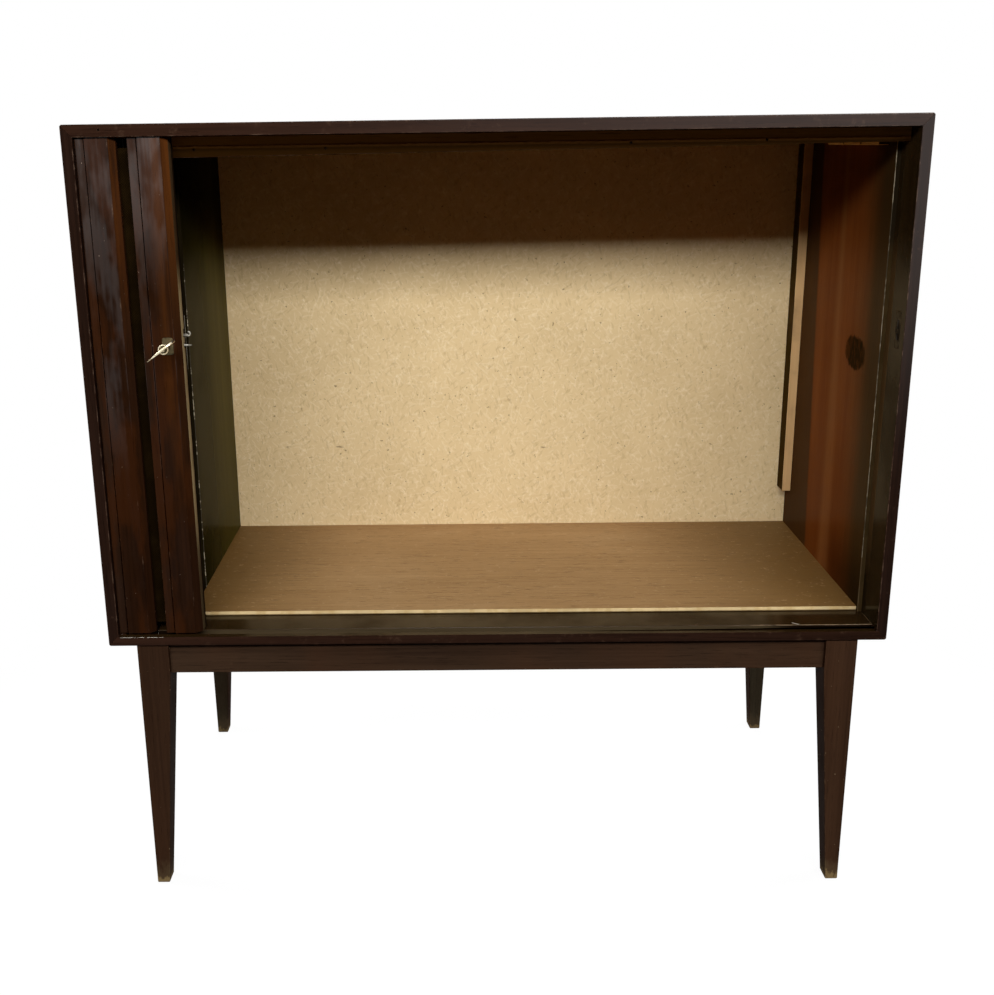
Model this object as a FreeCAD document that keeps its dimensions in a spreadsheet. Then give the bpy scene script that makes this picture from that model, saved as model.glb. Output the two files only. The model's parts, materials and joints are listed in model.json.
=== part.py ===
import FreeCAD, Part
import math
import os
import re

# Tambour door bar cabinet on four tapered legs, drawn with its door slid open to the left.
# Millimetres, Z up, front towards -Y, origin on the floor under the middle of the whole piece.

SIZES = [
    # the case
    ("case_width", 900, "outer width of the case"),
    ("case_depth", 420, "case front to the outer face of the back board"),
    ("case_height", 582, "outer height of the case"),
    ("top_wall", 13, "thickness of the top panel"),
    ("bottom_wall", 13, "thickness of the bottom panel"),
    ("side_wall", 12, "thickness of each side panel"),
    ("back_board", 4, "thickness of the outer back board"),
    ("back_margin", 3, "back board stops short of the case edge"),
    # the lining of the compartment
    ("lining", 5, "thickness of the plywood linings and floor board"),
    ("pocket_width", 86, "left outer face to the inner face of the left lining"),
    ("inner_back", 8, "thickness of the chipboard inner back"),
    ("channel_clear", 1.5, "inner back to the canvas behind it"),
    ("floor_setback", 59, "case front to the front edge of the floor board"),
    ("lining_setback", 55, "case front to the front edge of the right lining"),
    ("liner_setback", 144, "case front to the front edge of the left lining"),
    ("header_setback", 31, "case front to the front of the header rail"),
    ("header_thick", 10, "header rail front to back"),
    ("header_left", 22.5, "height of the header rail at its left end"),
    ("header_right", 15, "height of the header rail at its right end"),
    ("batten_wide", 12, "corner batten across the back"),
    ("batten_deep", 28, "corner batten front to back"),
    ("batten_lift", 54, "floor board to the foot of the corner batten"),
    ("block_wide", 12, "glue block across"),
    ("block_high", 19, "glue block height"),
    ("block_long", 58, "glue block front to back"),
    ("block_gap", 5, "saw gap between two glue blocks"),
    ("block_start", 25, "front edge of the lining to the first glue block"),
    # the base
    ("leg_height", 319, "floor to the underside of the case"),
    ("leg_top", 36.5, "square top of each leg"),
    ("foot_wide", 15, "foot of each leg across"),
    ("foot_deep", 22, "foot of each leg front to back"),
    ("leg_inset_side", 31, "case side to the outer face of a leg"),
    ("leg_inset_front", 4, "case front or back to the outer face of a leg"),
    ("apron_high", 39, "height of the apron rails"),
    ("apron_thick", 18, "thickness of the apron rails"),
    ("apron_setback", 6, "leg face to apron face"),
    ("base_block", 20, "square section of the screw blocks behind the aprons"),
    ("base_block_long", 60, "length of the screw blocks"),
    ("base_block_offset", 260, "middle of the case to each long-side screw block"),
    # the curtain
    ("slat_pitch", 54.75, "one slat to the next along the curtain"),
    ("slat_width", 41.8, "width of a slat"),
    ("slat_thick", 11, "thickness of a slat at its face"),
    ("slat_base", 5, "thickness of a slat under quirk and bevel foot"),
    ("lip_width", 9.3, "width of the strip left of the quirk"),
    ("lip_thick", 9.5, "thickness of the strip left of the quirk"),
    ("quirk", 1, "width of the quirk groove"),
    ("face_width", 24, "width of the flat face"),
    ("slat_setback", 4, "case front to the slat faces"),
    ("slat_clear", 0.45, "left panel to the edge of the first slat"),
    ("slat_end_clear", 1, "slat ends to the top and bottom panels"),
    ("side_run_gap", 1.5, "left panel to the slat faces on the side run"),
    ("rear_run_gap", 1.5, "back board to the slat faces on the rear run"),
    ("rear_run_start", 20, "rear corner to the first slat of the rear run"),
    ("stile_thick", 24, "thickness of the lock stile"),
    ("canvas", 1, "thickness of the canvas"),
    ("canvas_end_gap", 10, "slat end to the edge of the canvas"),
    ("canvas_lap", 12, "canvas glued behind the stile's left edge"),
    ("canvas_tail", 12, "canvas left free past the last slat"),
    ("tongue_start", 9, "slat edge to its tongue"),
    ("tongue_width", 25, "width of a tongue"),
    ("tongue_long", 5, "tongue past the slat end"),
    ("groove_clear", 1, "tongue to the groove walls"),
    ("groove_deep", 6, "depth of the track grooves"),
    ("turn_pocket", 36, "side of the square turning pocket at a track corner"),
    # the lock
    ("lock_height", 350, "underside of the case to the keyhole"),
    ("keyhole_in", 27.3, "stile's left edge to the keyhole"),
    ("keyhole", 2.7, "radius of the keyhole"),
    ("key_clear", 0.5, "radial play of the key"),
    ("key_reach", 41, "case front to the end of the key's bow"),
    ("bow_wide", 38, "key bow across"),
    ("bow_high", 22, "key bow along the key"),
    ("bow_thick", 2.6, "thickness of the key's bow"),
    ("bow_rim", 5, "width of the metal round the bow's eye"),
    ("bow_tilt", 37, "turn of the bow from level"),
    ("collar", 5.5, "radius of the collar between the key's shank and bow"),
    ("collar_thick", 2.5, "thickness of the key's collar"),
    ("bit_long", 6, "key bit past the key's axis"),
    ("plate_wide", 12, "escutcheon across"),
    ("plate_high", 19, "escutcheon height"),
    ("plate_thick", 1.2, "thickness of escutcheon and strike plate"),
    ("lock_wall", 10, "stile face to the lock pocket"),
    ("lock_edge", 3, "stile's closing edge to the lock pocket"),
    ("pocket_wide", 22, "lock pocket across"),
    ("pocket_high", 46, "lock pocket height"),
    ("bit_room", 3, "room for the key's bit in the lock pocket"),
    ("bolt_thick", 4.5, "thickness of the bolt plate"),
    ("bolt_wide", 10, "bolt plate across"),
    ("bolt_high", 30, "bolt plate height"),
    ("bolt_play", 0.5, "play round the bolt"),
    ("prong_out", 8, "bolt prongs past the stile's edge"),
    ("prong_thick", 3, "thickness of the prongs"),
    ("prong_high", 5, "height of each prong"),
    ("hook_rise", 3, "nib of the hooked prong above its bar"),
    ("hook_height", 8, "keyhole level to the bottom of the hooked prong"),
    ("bar_drop", 4, "keyhole level to the bottom of the straight prong"),
    ("flange", 1.5, "thickness of the lock's back flange"),
    ("flange_over", 7, "lock flange past the pocket above and below"),
    ("strike_wide", 14, "strike plate front to back"),
    ("strike_over", 9, "strike plate past the mortise above and below"),
    ("mortise_play", 1, "room round the prongs in the mortise"),
    # fasteners
    ("screw", 2, "radius of a screw's shank"),
    ("screw_head", 3.6, "radius of a screw's head"),
    ("screw_head_thick", 1.4, "thickness of a screw's head"),
    ("screw_play", 0.3, "radial play of a screw in its hole"),
    ("base_bite", 6, "base screws into the bottom panel"),
    ("back_bite", 14, "back screws into the panel edges"),
    ("back_screw_end", 60, "case corner to the nearest back screw"),
    ("back_screw_pitch", 235, "greatest distance between back screws along an edge"),
]
SLATS = 15
BLOCKS = 3

doc = FreeCAD.newDocument("tambour_bar_cabinet")
sheet = doc.addObject("Spreadsheet::Sheet", "Sizes")
for row, (alias, number, meaning) in enumerate(SIZES, start=1):
    sheet.set(f"A{row}", meaning)
    sheet.set(f"B{row}", str(number))
    sheet.setAlias(f"B{row}", alias)
doc.recompute()
value = {alias: float(sheet.get(alias)) for alias, number, meaning in SIZES}

# Planes that several pieces share, written in the sheet's names.
LEFT = "(-case_width / 2)"
RIGHT = "(case_width / 2)"
FRONT = "(-(case_depth - key_reach) / 2)"
BACK = f"({FRONT} + case_depth)"
PANEL_DEPTH = "(case_depth - back_board)"
TOP = "(leg_height + case_height)"
IN_LEFT = f"({LEFT} + side_wall)"
IN_RIGHT = f"({RIGHT} - side_wall)"
IN_FLOOR = "(leg_height + bottom_wall)"
IN_TOP = f"({TOP} - top_wall)"
IN_HIGH = "(case_height - top_wall - bottom_wall)"
SLAT_BACK = f"({FRONT} + slat_setback + slat_thick)"
SIDE_BACK = f"({IN_LEFT} + side_run_gap + slat_thick)"
REAR_BACK = f"({BACK} - back_board - rear_run_gap - slat_thick)"
FIRST_LEFT = f"({IN_LEFT} + slat_clear)"
STILE_LEFT = f"({FIRST_LEFT} + slat_pitch)"
STILE_RIGHT = f"({STILE_LEFT} + slat_width)"
SLAT_FOOT = f"({IN_FLOOR} + slat_end_clear)"
SLAT_LONG = f"({IN_HIGH} - 2 * slat_end_clear)"
LINER_IN = f"({LEFT} + pocket_width)"
LINING_IN = f"({IN_RIGHT} - lining)"
BACK_FACE = f"({REAR_BACK} - canvas - channel_clear - inner_back)"
FLOOR_FRONT = f"({FRONT} + floor_setback)"
LINING_FRONT = f"({FRONT} + lining_setback)"
LINER_FRONT = f"({FRONT} + liner_setback)"
KEY_X = f"({STILE_LEFT} + keyhole_in)"
KEY_Z = "(leg_height + lock_height)"
STILE_FACE = f"({FRONT} + slat_setback)"
STILE_REAR = f"({STILE_FACE} + stile_thick)"
BOLT_FRONT = f"({STILE_FACE} + lock_wall + bit_room)"
PRONG_FRONT = f"({BOLT_FRONT} + (bolt_thick - prong_thick) / 2)"
LEG_LEFT = f"({LEFT} + leg_inset_side)"
LEG_RIGHT = f"({RIGHT} - leg_inset_side)"
LEG_FRONT = f"({FRONT} + leg_inset_front)"
LEG_BACK = f"({BACK} - leg_inset_front)"
APRON_FOOT = "(leg_height - apron_high)"

nodes = []
Z_AXIS = FreeCAD.Vector(0, 0, 1)
TIPPED = FreeCAD.Rotation(FreeCAD.Vector(1, 0, 0), 90)  # own Y axis up, own Z axis towards the front
SIDEWAYS = FreeCAD.Rotation(Z_AXIS, -90)
FACING_BACK = FreeCAD.Rotation(Z_AXIS, 180)
NOT_TURNED = FreeCAD.Rotation()


def bind(thing, **formulas):
    """Tie properties of an object to the sheet."""
    for name, formula in formulas.items():
        linked = re.sub("[a-z_]+", lambda word: f"Sizes.{word[0]}", str(formula))
        thing.setExpression(name, linked)


def place(thing, x, y, z, turn=NOT_TURNED):
    """Put an object's own origin at x, y, z, turned as given."""
    thing.Placement = FreeCAD.Placement(FreeCAD.Vector(), turn)
    bind(thing, **{"Placement.Base.x": x, "Placement.Base.y": y, "Placement.Base.z": z})
    return thing


def node(label, thing):
    """Name an object as one of the cabinet's sub-parts."""
    thing.Label = label
    nodes.append(thing)
    return thing


def box(x, y, z, length, width, height):
    """A box from its low corner and its size along X, Y and Z."""
    made = doc.addObject("Part::Box", "box")
    bind(made, Length=length, Width=width, Height=height)
    return place(made, x, y, z)


def rod(x, y, z, radius, length, turn=NOT_TURNED):
    """A round rod that starts at x, y, z and runs along the turned Z axis."""
    made = doc.addObject("Part::Cylinder", "rod")
    bind(made, Radius=radius, Height=length)
    return place(made, x, y, z, turn)


def wedge(x, y, z, turn, low, high, rise):
    """A tapering block, with (x from, x to, z from, z to) at the low and the high end of its own Y axis."""
    made = doc.addObject("Part::Wedge", "wedge")
    bind(made, Xmin=low[0], Xmax=low[1], Zmin=low[2], Zmax=low[3], Ymin=0, Ymax=rise)
    bind(made, X2min=high[0], X2max=high[1], Z2min=high[2], Z2max=high[3])
    return place(made, x, y, z, turn)


def joined(things):
    """One solid out of several that meet."""
    made = doc.addObject("Part::MultiFuse", "joined")
    made.Shapes = things
    made.Refine = True
    return made


def group(things):
    """Separate solids that share a node."""
    made = doc.addObject("Part::Compound", "group")
    made.Links = things
    return made


def cut(thing, tools):
    """A solid with the tools taken out of it."""
    made = doc.addObject("Part::Cut", "cut")
    made.Base = thing
    made.Tool = tools[0] if len(tools) == 1 else joined(tools)
    made.Refine = True
    return made


# Screws: a row of places along each edge of the back board, and one under each screw block of the base.
SCREW_PLAY = "(screw + screw_play)"


def screw_row(corner, edge):
    """Formulas of evenly spaced places along an edge of the case that starts at a corner."""
    gaps = math.ceil((value[edge] - 2 * value["back_screw_end"]) / value["back_screw_pitch"])
    step = f"(({edge} - 2 * back_screw_end) / {gaps})"
    return [f"({corner} + back_screw_end + {i} * {step})" for i in range(gaps + 1)]


across = screw_row(LEFT, "case_width")
upward = screw_row("leg_height", "case_height")
back_screws = {
    "top": [(x, f"({TOP} - top_wall / 2)") for x in across],
    "bottom": [(x, "(leg_height + bottom_wall / 2)") for x in across],
    "left": [(f"({LEFT} + side_wall / 2)", z) for z in upward],
    "right": [(f"({RIGHT} - side_wall / 2)", z) for z in upward],
}


def back_holes(edge):
    """Screw holes in the rear edge of one case panel."""
    return [rod(x, BACK, z, SCREW_PLAY, "back_board + back_bite", TIPPED) for x, z in back_screws[edge]]


long_side = ["base_block_offset", "-base_block_offset"]
FRONT_BLOCK = f"({LEG_FRONT} + apron_setback + apron_thick)"
REAR_BLOCK = f"({LEG_BACK} - apron_setback - apron_thick - base_block)"
MIDDLE_Y = f"({FRONT} + case_depth / 2)"
LEFT_BLOCK = f"({LEG_LEFT} + apron_setback + apron_thick)"
RIGHT_BLOCK = f"({LEG_RIGHT} - apron_setback - apron_thick - base_block)"
base_blocks = [(f"({x} - base_block_long / 2)", y, "base_block_long", "base_block")
               for y in (FRONT_BLOCK, REAR_BLOCK) for x in long_side]
base_blocks += [(x, f"({MIDDLE_Y} - base_block_long / 2)", "base_block", "base_block_long")
                for x in (LEFT_BLOCK, RIGHT_BLOCK)]
base_screws = [(f"({x} + {length} / 2)", f"({y} + {width} / 2)") for x, y, length, width in base_blocks]
BLOCK_FOOT = "(leg_height - base_block)"


def base_holes():
    """Screw holes that run up through the screw blocks into the bottom panel."""
    return [rod(x, y, BLOCK_FOOT, SCREW_PLAY, "base_block + base_bite") for x, y in base_screws]


# The track: a groove along the front, the left side and part of the back, with a turning pocket at each corner.
GROOVE_LEFT = f"({SIDE_BACK} - slat_base - groove_clear)"
GROOVE_FRONT = f"({SLAT_BACK} - slat_base - groove_clear)"
GROOVE_BACK = f"({REAR_BACK} + slat_base + groove_clear)"
GROOVE_WIDE = "(slat_base + 2 * groove_clear)"
side_long = value["case_depth"] - value["back_board"] - value["rear_run_gap"] - value["slat_setback"]
side_long -= 2 * value["slat_thick"]
lip_past_corner = value["side_run_gap"] + value["slat_thick"] - value["slat_clear"]
side_count = int((side_long + value["lip_width"] - lip_past_corner) // value["slat_pitch"])
rear_count = SLATS - 1 - side_count
REAR_LONG = f"(rear_run_start + {rear_count} * slat_pitch)"


def track(z):
    """The groove's cutters, from height z upwards."""
    corner_back = f"({GROOVE_BACK} - turn_pocket)"
    side_run = f"({GROOVE_BACK} - {GROOVE_FRONT})"
    rear_run = f"({SIDE_BACK} + {REAR_LONG} - {GROOVE_LEFT})"
    return [
        box(GROOVE_LEFT, GROOVE_FRONT, z, f"{IN_RIGHT} - {GROOVE_LEFT}", GROOVE_WIDE, "groove_deep"),
        box(GROOVE_LEFT, GROOVE_FRONT, z, GROOVE_WIDE, side_run, "groove_deep"),
        box(GROOVE_LEFT, f"{GROOVE_BACK} - {GROOVE_WIDE}", z, rear_run, GROOVE_WIDE, "groove_deep"),
        box(GROOVE_LEFT, GROOVE_FRONT, z, "turn_pocket", "turn_pocket", "groove_deep"),
        box(GROOVE_LEFT, corner_back, z, "turn_pocket", "turn_pocket", "groove_deep"),
    ]


# Case panels, mitred at the four corners and flush at the front.
flat_outer = (LEFT, RIGHT, f"-{PANEL_DEPTH}", "0")
flat_inner = (IN_LEFT, IN_RIGHT, f"-{PANEL_DEPTH}", "0")
top_blank = wedge("0", FRONT, IN_TOP, TIPPED, flat_inner, flat_outer, "top_wall")
node("case_top", cut(top_blank, track(IN_TOP) + back_holes("top")))
bottom_blank = wedge("0", FRONT, "leg_height", TIPPED, flat_outer, flat_inner, "bottom_wall")
bottom_track = track(f"{IN_FLOOR} - groove_deep")
node("case_bottom", cut(bottom_blank, bottom_track + back_holes("bottom") + base_holes()))

side_outer = (f"-{PANEL_DEPTH}", "0", "0", "case_height")
side_inner = (f"-{PANEL_DEPTH}", "0", "bottom_wall", "case_height - top_wall")
left_blank = wedge(LEFT, FRONT, "leg_height", SIDEWAYS, side_outer, side_inner, "side_wall")
node("case_left", cut(left_blank, back_holes("left")))

# The right panel carries the strike: a mortise for the two prongs behind a plate let in flush.
MORTISE_FOOT = f"({KEY_Z} - bar_drop - mortise_play)"
MORTISE_HIGH = "(bar_drop + hook_height + prong_high + hook_rise + 2 * mortise_play)"
MORTISE_DEEP = "(prong_out + mortise_play)"
STRIKE_FRONT = f"({PRONG_FRONT} + prong_thick / 2 - strike_wide / 2)"
STRIKE_FOOT = f"({MORTISE_FOOT} - strike_over)"
STRIKE_HIGH = f"({MORTISE_HIGH} + 2 * strike_over)"
mortise = box(IN_RIGHT, f"{PRONG_FRONT} - mortise_play", MORTISE_FOOT,
              MORTISE_DEEP, "prong_thick + 2 * mortise_play", MORTISE_HIGH)
recess = box(IN_RIGHT, STRIKE_FRONT, STRIKE_FOOT, "plate_thick", "strike_wide", STRIKE_HIGH)
right_blank = wedge(IN_RIGHT, FRONT, "leg_height", SIDEWAYS, side_inner, side_outer, "side_wall")
node("case_right", cut(right_blank, [mortise, recess] + back_holes("right")))


def strike_slot(z, height):
    """A slot of the strike plate, one prong high."""
    return box(IN_RIGHT, f"{PRONG_FRONT} - mortise_play", f"{z} - mortise_play",
               "plate_thick", "prong_thick + 2 * mortise_play", f"{height} + 2 * mortise_play")


HOOK_FOOT = f"({KEY_Z} + hook_height)"
BAR_FOOT = f"({KEY_Z} - bar_drop)"
strike_blank = box(IN_RIGHT, STRIKE_FRONT, STRIKE_FOOT, "plate_thick", "strike_wide", STRIKE_HIGH)
strike_slots = [strike_slot(HOOK_FOOT, "(prong_high + hook_rise)"), strike_slot(BAR_FOOT, "prong_high")]
node("strike_plate", cut(strike_blank, strike_slots))

# Back board over the rear edges of the panels, held by countersunk screws.
BOARD_FRONT = f"({BACK} - back_board)"
board_blank = box(f"{LEFT} + back_margin", BOARD_FRONT, "leg_height + back_margin",
                  "case_width - 2 * back_margin", "back_board", "case_height - 2 * back_margin")
board_holes = []
board_screws = []
for x, z in back_screws["top"] + back_screws["bottom"] + back_screws["left"] + back_screws["right"]:
    board_holes.append(rod(x, BACK, z, SCREW_PLAY, "back_board", TIPPED))
    board_holes.append(rod(x, BACK, z, "screw_head + screw_play", "screw_head_thick", TIPPED))
    head = rod(x, BACK, z, "screw_head", "screw_head_thick", TIPPED)
    shank = rod(x, BACK, z, "screw", "back_board + back_bite", TIPPED)
    board_screws.append(joined([head, shank]))
node("back_board", cut(board_blank, board_holes))
node("back_screws", group(board_screws))

# Lining of the compartment: chipboard back, plywood sides and floor.
LINER_OUT = f"({LINER_IN} - lining)"
FLOOR_TOP = f"({IN_FLOOR} + lining)"
node("inner_back", box(LINER_OUT, BACK_FACE, IN_FLOOR, f"{IN_RIGHT} - {LINER_OUT}", "inner_back", IN_HIGH))
node("left_lining", box(LINER_OUT, LINER_FRONT, IN_FLOOR, "lining", f"{BACK_FACE} - {LINER_FRONT}", IN_HIGH))
node("right_lining", box(LINING_IN, LINING_FRONT, IN_FLOOR, "lining", f"{BACK_FACE} - {LINING_FRONT}", IN_HIGH))
node("floor_board", box(LINER_IN, FLOOR_FRONT, IN_FLOOR, f"{LINING_IN} - {LINER_IN}",
                        f"{BACK_FACE} - {FLOOR_FRONT}", "lining"))
header_low = ("-header_thick", "0", "-header_left", "0")
header_high = ("-header_thick", "0", "-header_right", "0")
node("header_rail", wedge(LINER_OUT, f"{FRONT} + header_setback", IN_TOP, SIDEWAYS, header_low, header_high,
                          f"{IN_RIGHT} - {LINER_OUT}"))
BATTEN_FOOT = f"({FLOOR_TOP} + batten_lift)"
node("corner_batten", box(f"{LINING_IN} - batten_wide", f"{BACK_FACE} - batten_deep", BATTEN_FOOT,
                          "batten_wide", "batten_deep", f"{IN_TOP} - {BATTEN_FOOT}"))
glue_blocks = []
for i in range(BLOCKS):
    y = f"{LINING_FRONT} + block_start + {i} * (block_long + block_gap)"
    glue_blocks.append(box(f"{LINING_IN} - block_wide", y, f"{IN_TOP} - block_high",
                           "block_wide", "block_long", "block_high"))
node("glue_blocks", group(glue_blocks))

# Base: four legs, plumb on their outer faces and tapered on the inner ones, and four apron rails between them.
leg_places = {
    "leg_front_left": (LEG_LEFT, 1, LEG_FRONT, 1),
    "leg_front_right": (LEG_RIGHT, -1, LEG_FRONT, 1),
    "leg_back_left": (LEG_LEFT, 1, LEG_BACK, -1),
    "leg_back_right": (LEG_RIGHT, -1, LEG_BACK, -1),
}


def span(size, way):
    """From an outer face inwards: to the right for 1, to the left for -1."""
    return ("0", size) if way > 0 else (f"-{size}", "0")


for label, (x, x_way, y, y_way) in leg_places.items():
    foot = span("foot_wide", x_way) + span("foot_deep", -y_way)
    head = span("leg_top", x_way) + span("leg_top", -y_way)
    taper = wedge(x, y, "0", TIPPED, foot, head, APRON_FOOT)
    block = box(x if x_way > 0 else f"{x} - leg_top", y if y_way > 0 else f"{y} - leg_top", APRON_FOOT,
                "leg_top", "leg_top", "apron_high")
    node(label, joined([taper, block]))

APRON_LONG = f"({LEG_RIGHT} - {LEG_LEFT} - 2 * leg_top)"
APRON_DEEP = f"({LEG_BACK} - {LEG_FRONT} - 2 * leg_top)"
node("apron_front", box(f"{LEG_LEFT} + leg_top", f"{LEG_FRONT} + apron_setback", APRON_FOOT,
                        APRON_LONG, "apron_thick", "apron_high"))
node("apron_back", box(f"{LEG_LEFT} + leg_top", f"{LEG_BACK} - apron_setback - apron_thick", APRON_FOOT,
                       APRON_LONG, "apron_thick", "apron_high"))
node("apron_left", box(f"{LEG_LEFT} + apron_setback", f"{LEG_FRONT} + leg_top", APRON_FOOT,
                       "apron_thick", APRON_DEEP, "apron_high"))
node("apron_right", box(f"{LEG_RIGHT} - apron_setback - apron_thick", f"{LEG_FRONT} + leg_top", APRON_FOOT,
                        "apron_thick", APRON_DEEP, "apron_high"))
block_blanks = [box(x, y, BLOCK_FOOT, length, width, "base_block") for x, y, length, width in base_blocks]
node("base_blocks", group([cut(blank, [hole]) for blank, hole in zip(block_blanks, base_holes())]))
block_screws = []
for x, y in base_screws:
    head = rod(x, y, f"{BLOCK_FOOT} - screw_head_thick", "screw_head", "screw_head_thick")
    shank = rod(x, y, BLOCK_FOOT, "screw", "base_block + base_bite")
    block_screws.append(joined([head, shank]))
node("base_screws", group(block_screws))


# The curtain: slats glued on canvas, each with a strip, a quirk, a flat face and a bevel on its leading side.
# A slat is drawn with its left back edge on its own Z axis and its face towards -Y.
def slat_pieces():
    """The solids that make up the section of one slat, with its tongues."""
    face_start = "(lip_width + quirk)"
    bevel_start = f"({face_start} + face_width)"
    deep = ("0", "slat_thick", "0", SLAT_LONG)
    shallow = ("0", "slat_base", "0", SLAT_LONG)
    return [
        box("0", "-slat_base", "0", "slat_width", "slat_base", SLAT_LONG),
        box("0", "-lip_thick", "0", "lip_width", "lip_thick", SLAT_LONG),
        box(face_start, "-slat_thick", "0", "face_width", "slat_thick", SLAT_LONG),
        wedge(bevel_start, "0", "0", SIDEWAYS, deep, shallow, f"slat_width - {bevel_start}"),
        box("tongue_start", "-slat_base", "-tongue_long", "tongue_width", "slat_base",
            f"{SLAT_LONG} + 2 * tongue_long"),
    ]


slat_places = [(FIRST_LEFT, SLAT_BACK, NOT_TURNED)]
for i in range(side_count):
    along = f"({SIDE_BACK} - {FIRST_LEFT} + {i + 1} * slat_pitch)"
    slat_places.append((SIDE_BACK, f"{SLAT_BACK} + {along}", SIDEWAYS))
for i in range(rear_count):
    along = f"(rear_run_start + slat_width + {i} * slat_pitch)"
    slat_places.append((f"{SIDE_BACK} + {along}", REAR_BACK, FACING_BACK))
for number, (x, y, turn) in enumerate(slat_places, start=1):
    node(f"tambour_slat_{number:02d}", place(joined(slat_pieces()), x, y, SLAT_FOOT, turn))

CANVAS_FOOT = f"({SLAT_FOOT} + canvas_end_gap)"
CANVAS_HIGH = f"({SLAT_LONG} - 2 * canvas_end_gap)"
node("canvas_front", box(SIDE_BACK, SLAT_BACK, CANVAS_FOOT,
                         f"{STILE_LEFT} + canvas_lap - {SIDE_BACK}", "canvas", CANVAS_HIGH))
node("canvas_side", box(SIDE_BACK, f"{SLAT_BACK} + canvas", CANVAS_FOOT,
                        "canvas", f"{REAR_BACK} - {SLAT_BACK} - 2 * canvas", CANVAS_HIGH))
node("canvas_rear", box(SIDE_BACK, f"{REAR_BACK} - canvas", CANVAS_FOOT,
                        f"{REAR_LONG} - slat_pitch + slat_width + canvas_tail", "canvas", CANVAS_HIGH))

# The lock stile: a slat with a thick back, a pocket for the lock and slots for the two prongs in its edge.
stile_local = place(joined(slat_pieces()), STILE_LEFT, SLAT_BACK, SLAT_FOOT)
BAR_LEFT = f"({STILE_LEFT} + canvas_lap + canvas)"
BAR_WIDE = f"({STILE_RIGHT} - {BAR_LEFT})"
stile_bar = box(BAR_LEFT, SLAT_BACK, SLAT_FOOT, BAR_WIDE, f"{STILE_REAR} - {SLAT_BACK}", SLAT_LONG)
POCKET_RIGHT = f"({STILE_RIGHT} - lock_edge)"
POCKET_LEFT = f"({POCKET_RIGHT} - pocket_wide)"
POCKET_FRONT = f"({STILE_FACE} + lock_wall)"
POCKET_FOOT = f"({KEY_Z} - pocket_high / 2)"
lock_pocket = box(POCKET_LEFT, POCKET_FRONT, POCKET_FOOT,
                  "pocket_wide", f"{STILE_REAR} - {POCKET_FRONT}", "pocket_high")
key_bore = rod(KEY_X, POCKET_FRONT, KEY_Z, "keyhole", "lock_wall", TIPPED)


def prong_slot(z, height):
    """A slot through the stile's closing edge with play round a prong."""
    return box(POCKET_RIGHT, f"{PRONG_FRONT} - bolt_play", f"{z} - bolt_play",
               "lock_edge", "prong_thick + 2 * bolt_play", f"{height} + 2 * bolt_play")


prong_slots = [prong_slot(HOOK_FOOT, "(prong_high + hook_rise)"), prong_slot(BAR_FOOT, "prong_high")]
node("lock_stile", cut(joined([stile_local, stile_bar]), [lock_pocket, key_bore] + prong_slots))

# The lock in the pocket: a case with its flange, and a sliding bolt with a hooked and a straight prong.
CASE_FRONT = f"({BOLT_FRONT} + bolt_thick + bolt_play)"
lock_body = box(POCKET_LEFT, CASE_FRONT, POCKET_FOOT,
                "pocket_wide", f"{STILE_REAR} - {CASE_FRONT}", "pocket_high")
lock_flange = box(BAR_LEFT, STILE_REAR, f"{POCKET_FOOT} - flange_over",
                  BAR_WIDE, "flange", "pocket_high + 2 * flange_over")
node("lock_case", joined([lock_body, lock_flange]))

BOLT_RIGHT = f"({POCKET_RIGHT} - bolt_play)"
PRONG_LONG = f"({STILE_RIGHT} + prong_out - {BOLT_RIGHT})"
bolt_plate = box(f"{BOLT_RIGHT} - bolt_wide", BOLT_FRONT, f"{KEY_Z} - bolt_high / 2",
                 "bolt_wide", "bolt_thick", "bolt_high")
hook_bar = box(BOLT_RIGHT, PRONG_FRONT, HOOK_FOOT, PRONG_LONG, "prong_thick", "prong_high")
hook_nib = box(f"{STILE_RIGHT} + prong_out - prong_thick", PRONG_FRONT, HOOK_FOOT,
               "prong_thick", "prong_thick", "prong_high + hook_rise")
straight_bar = box(BOLT_RIGHT, PRONG_FRONT, BAR_FOOT, PRONG_LONG, "prong_thick", "prong_high")
node("lock_bolt", joined([bolt_plate, hook_bar, hook_nib, straight_bar]))

plate_blank = box(f"{KEY_X} - plate_wide / 2", f"{STILE_FACE} - plate_thick", f"{KEY_Z} - plate_high / 2",
                  "plate_wide", "plate_thick", "plate_high")
node("escutcheon", cut(plate_blank, [rod(KEY_X, STILE_FACE, KEY_Z, "keyhole", "plate_thick", TIPPED)]))


# The key is drawn along its own -Y axis from the stile's face, then turned about that axis.
def stadium(wide, high, middle):
    """A flat slot shape across the key: a box between two round ends."""
    half = f"(({wide} - {high}) / 2)"
    low = "-bow_thick / 2"
    left_end = rod(f"-{half}", middle, low, f"{high} / 2", "bow_thick")
    right_end = rod(half, middle, low, f"{high} / 2", "bow_thick")
    between = box(f"-{half}", f"{middle} - {high} / 2", low, f"2 * {half}", high, "bow_thick")
    return joined([left_end, right_end, between])


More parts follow.
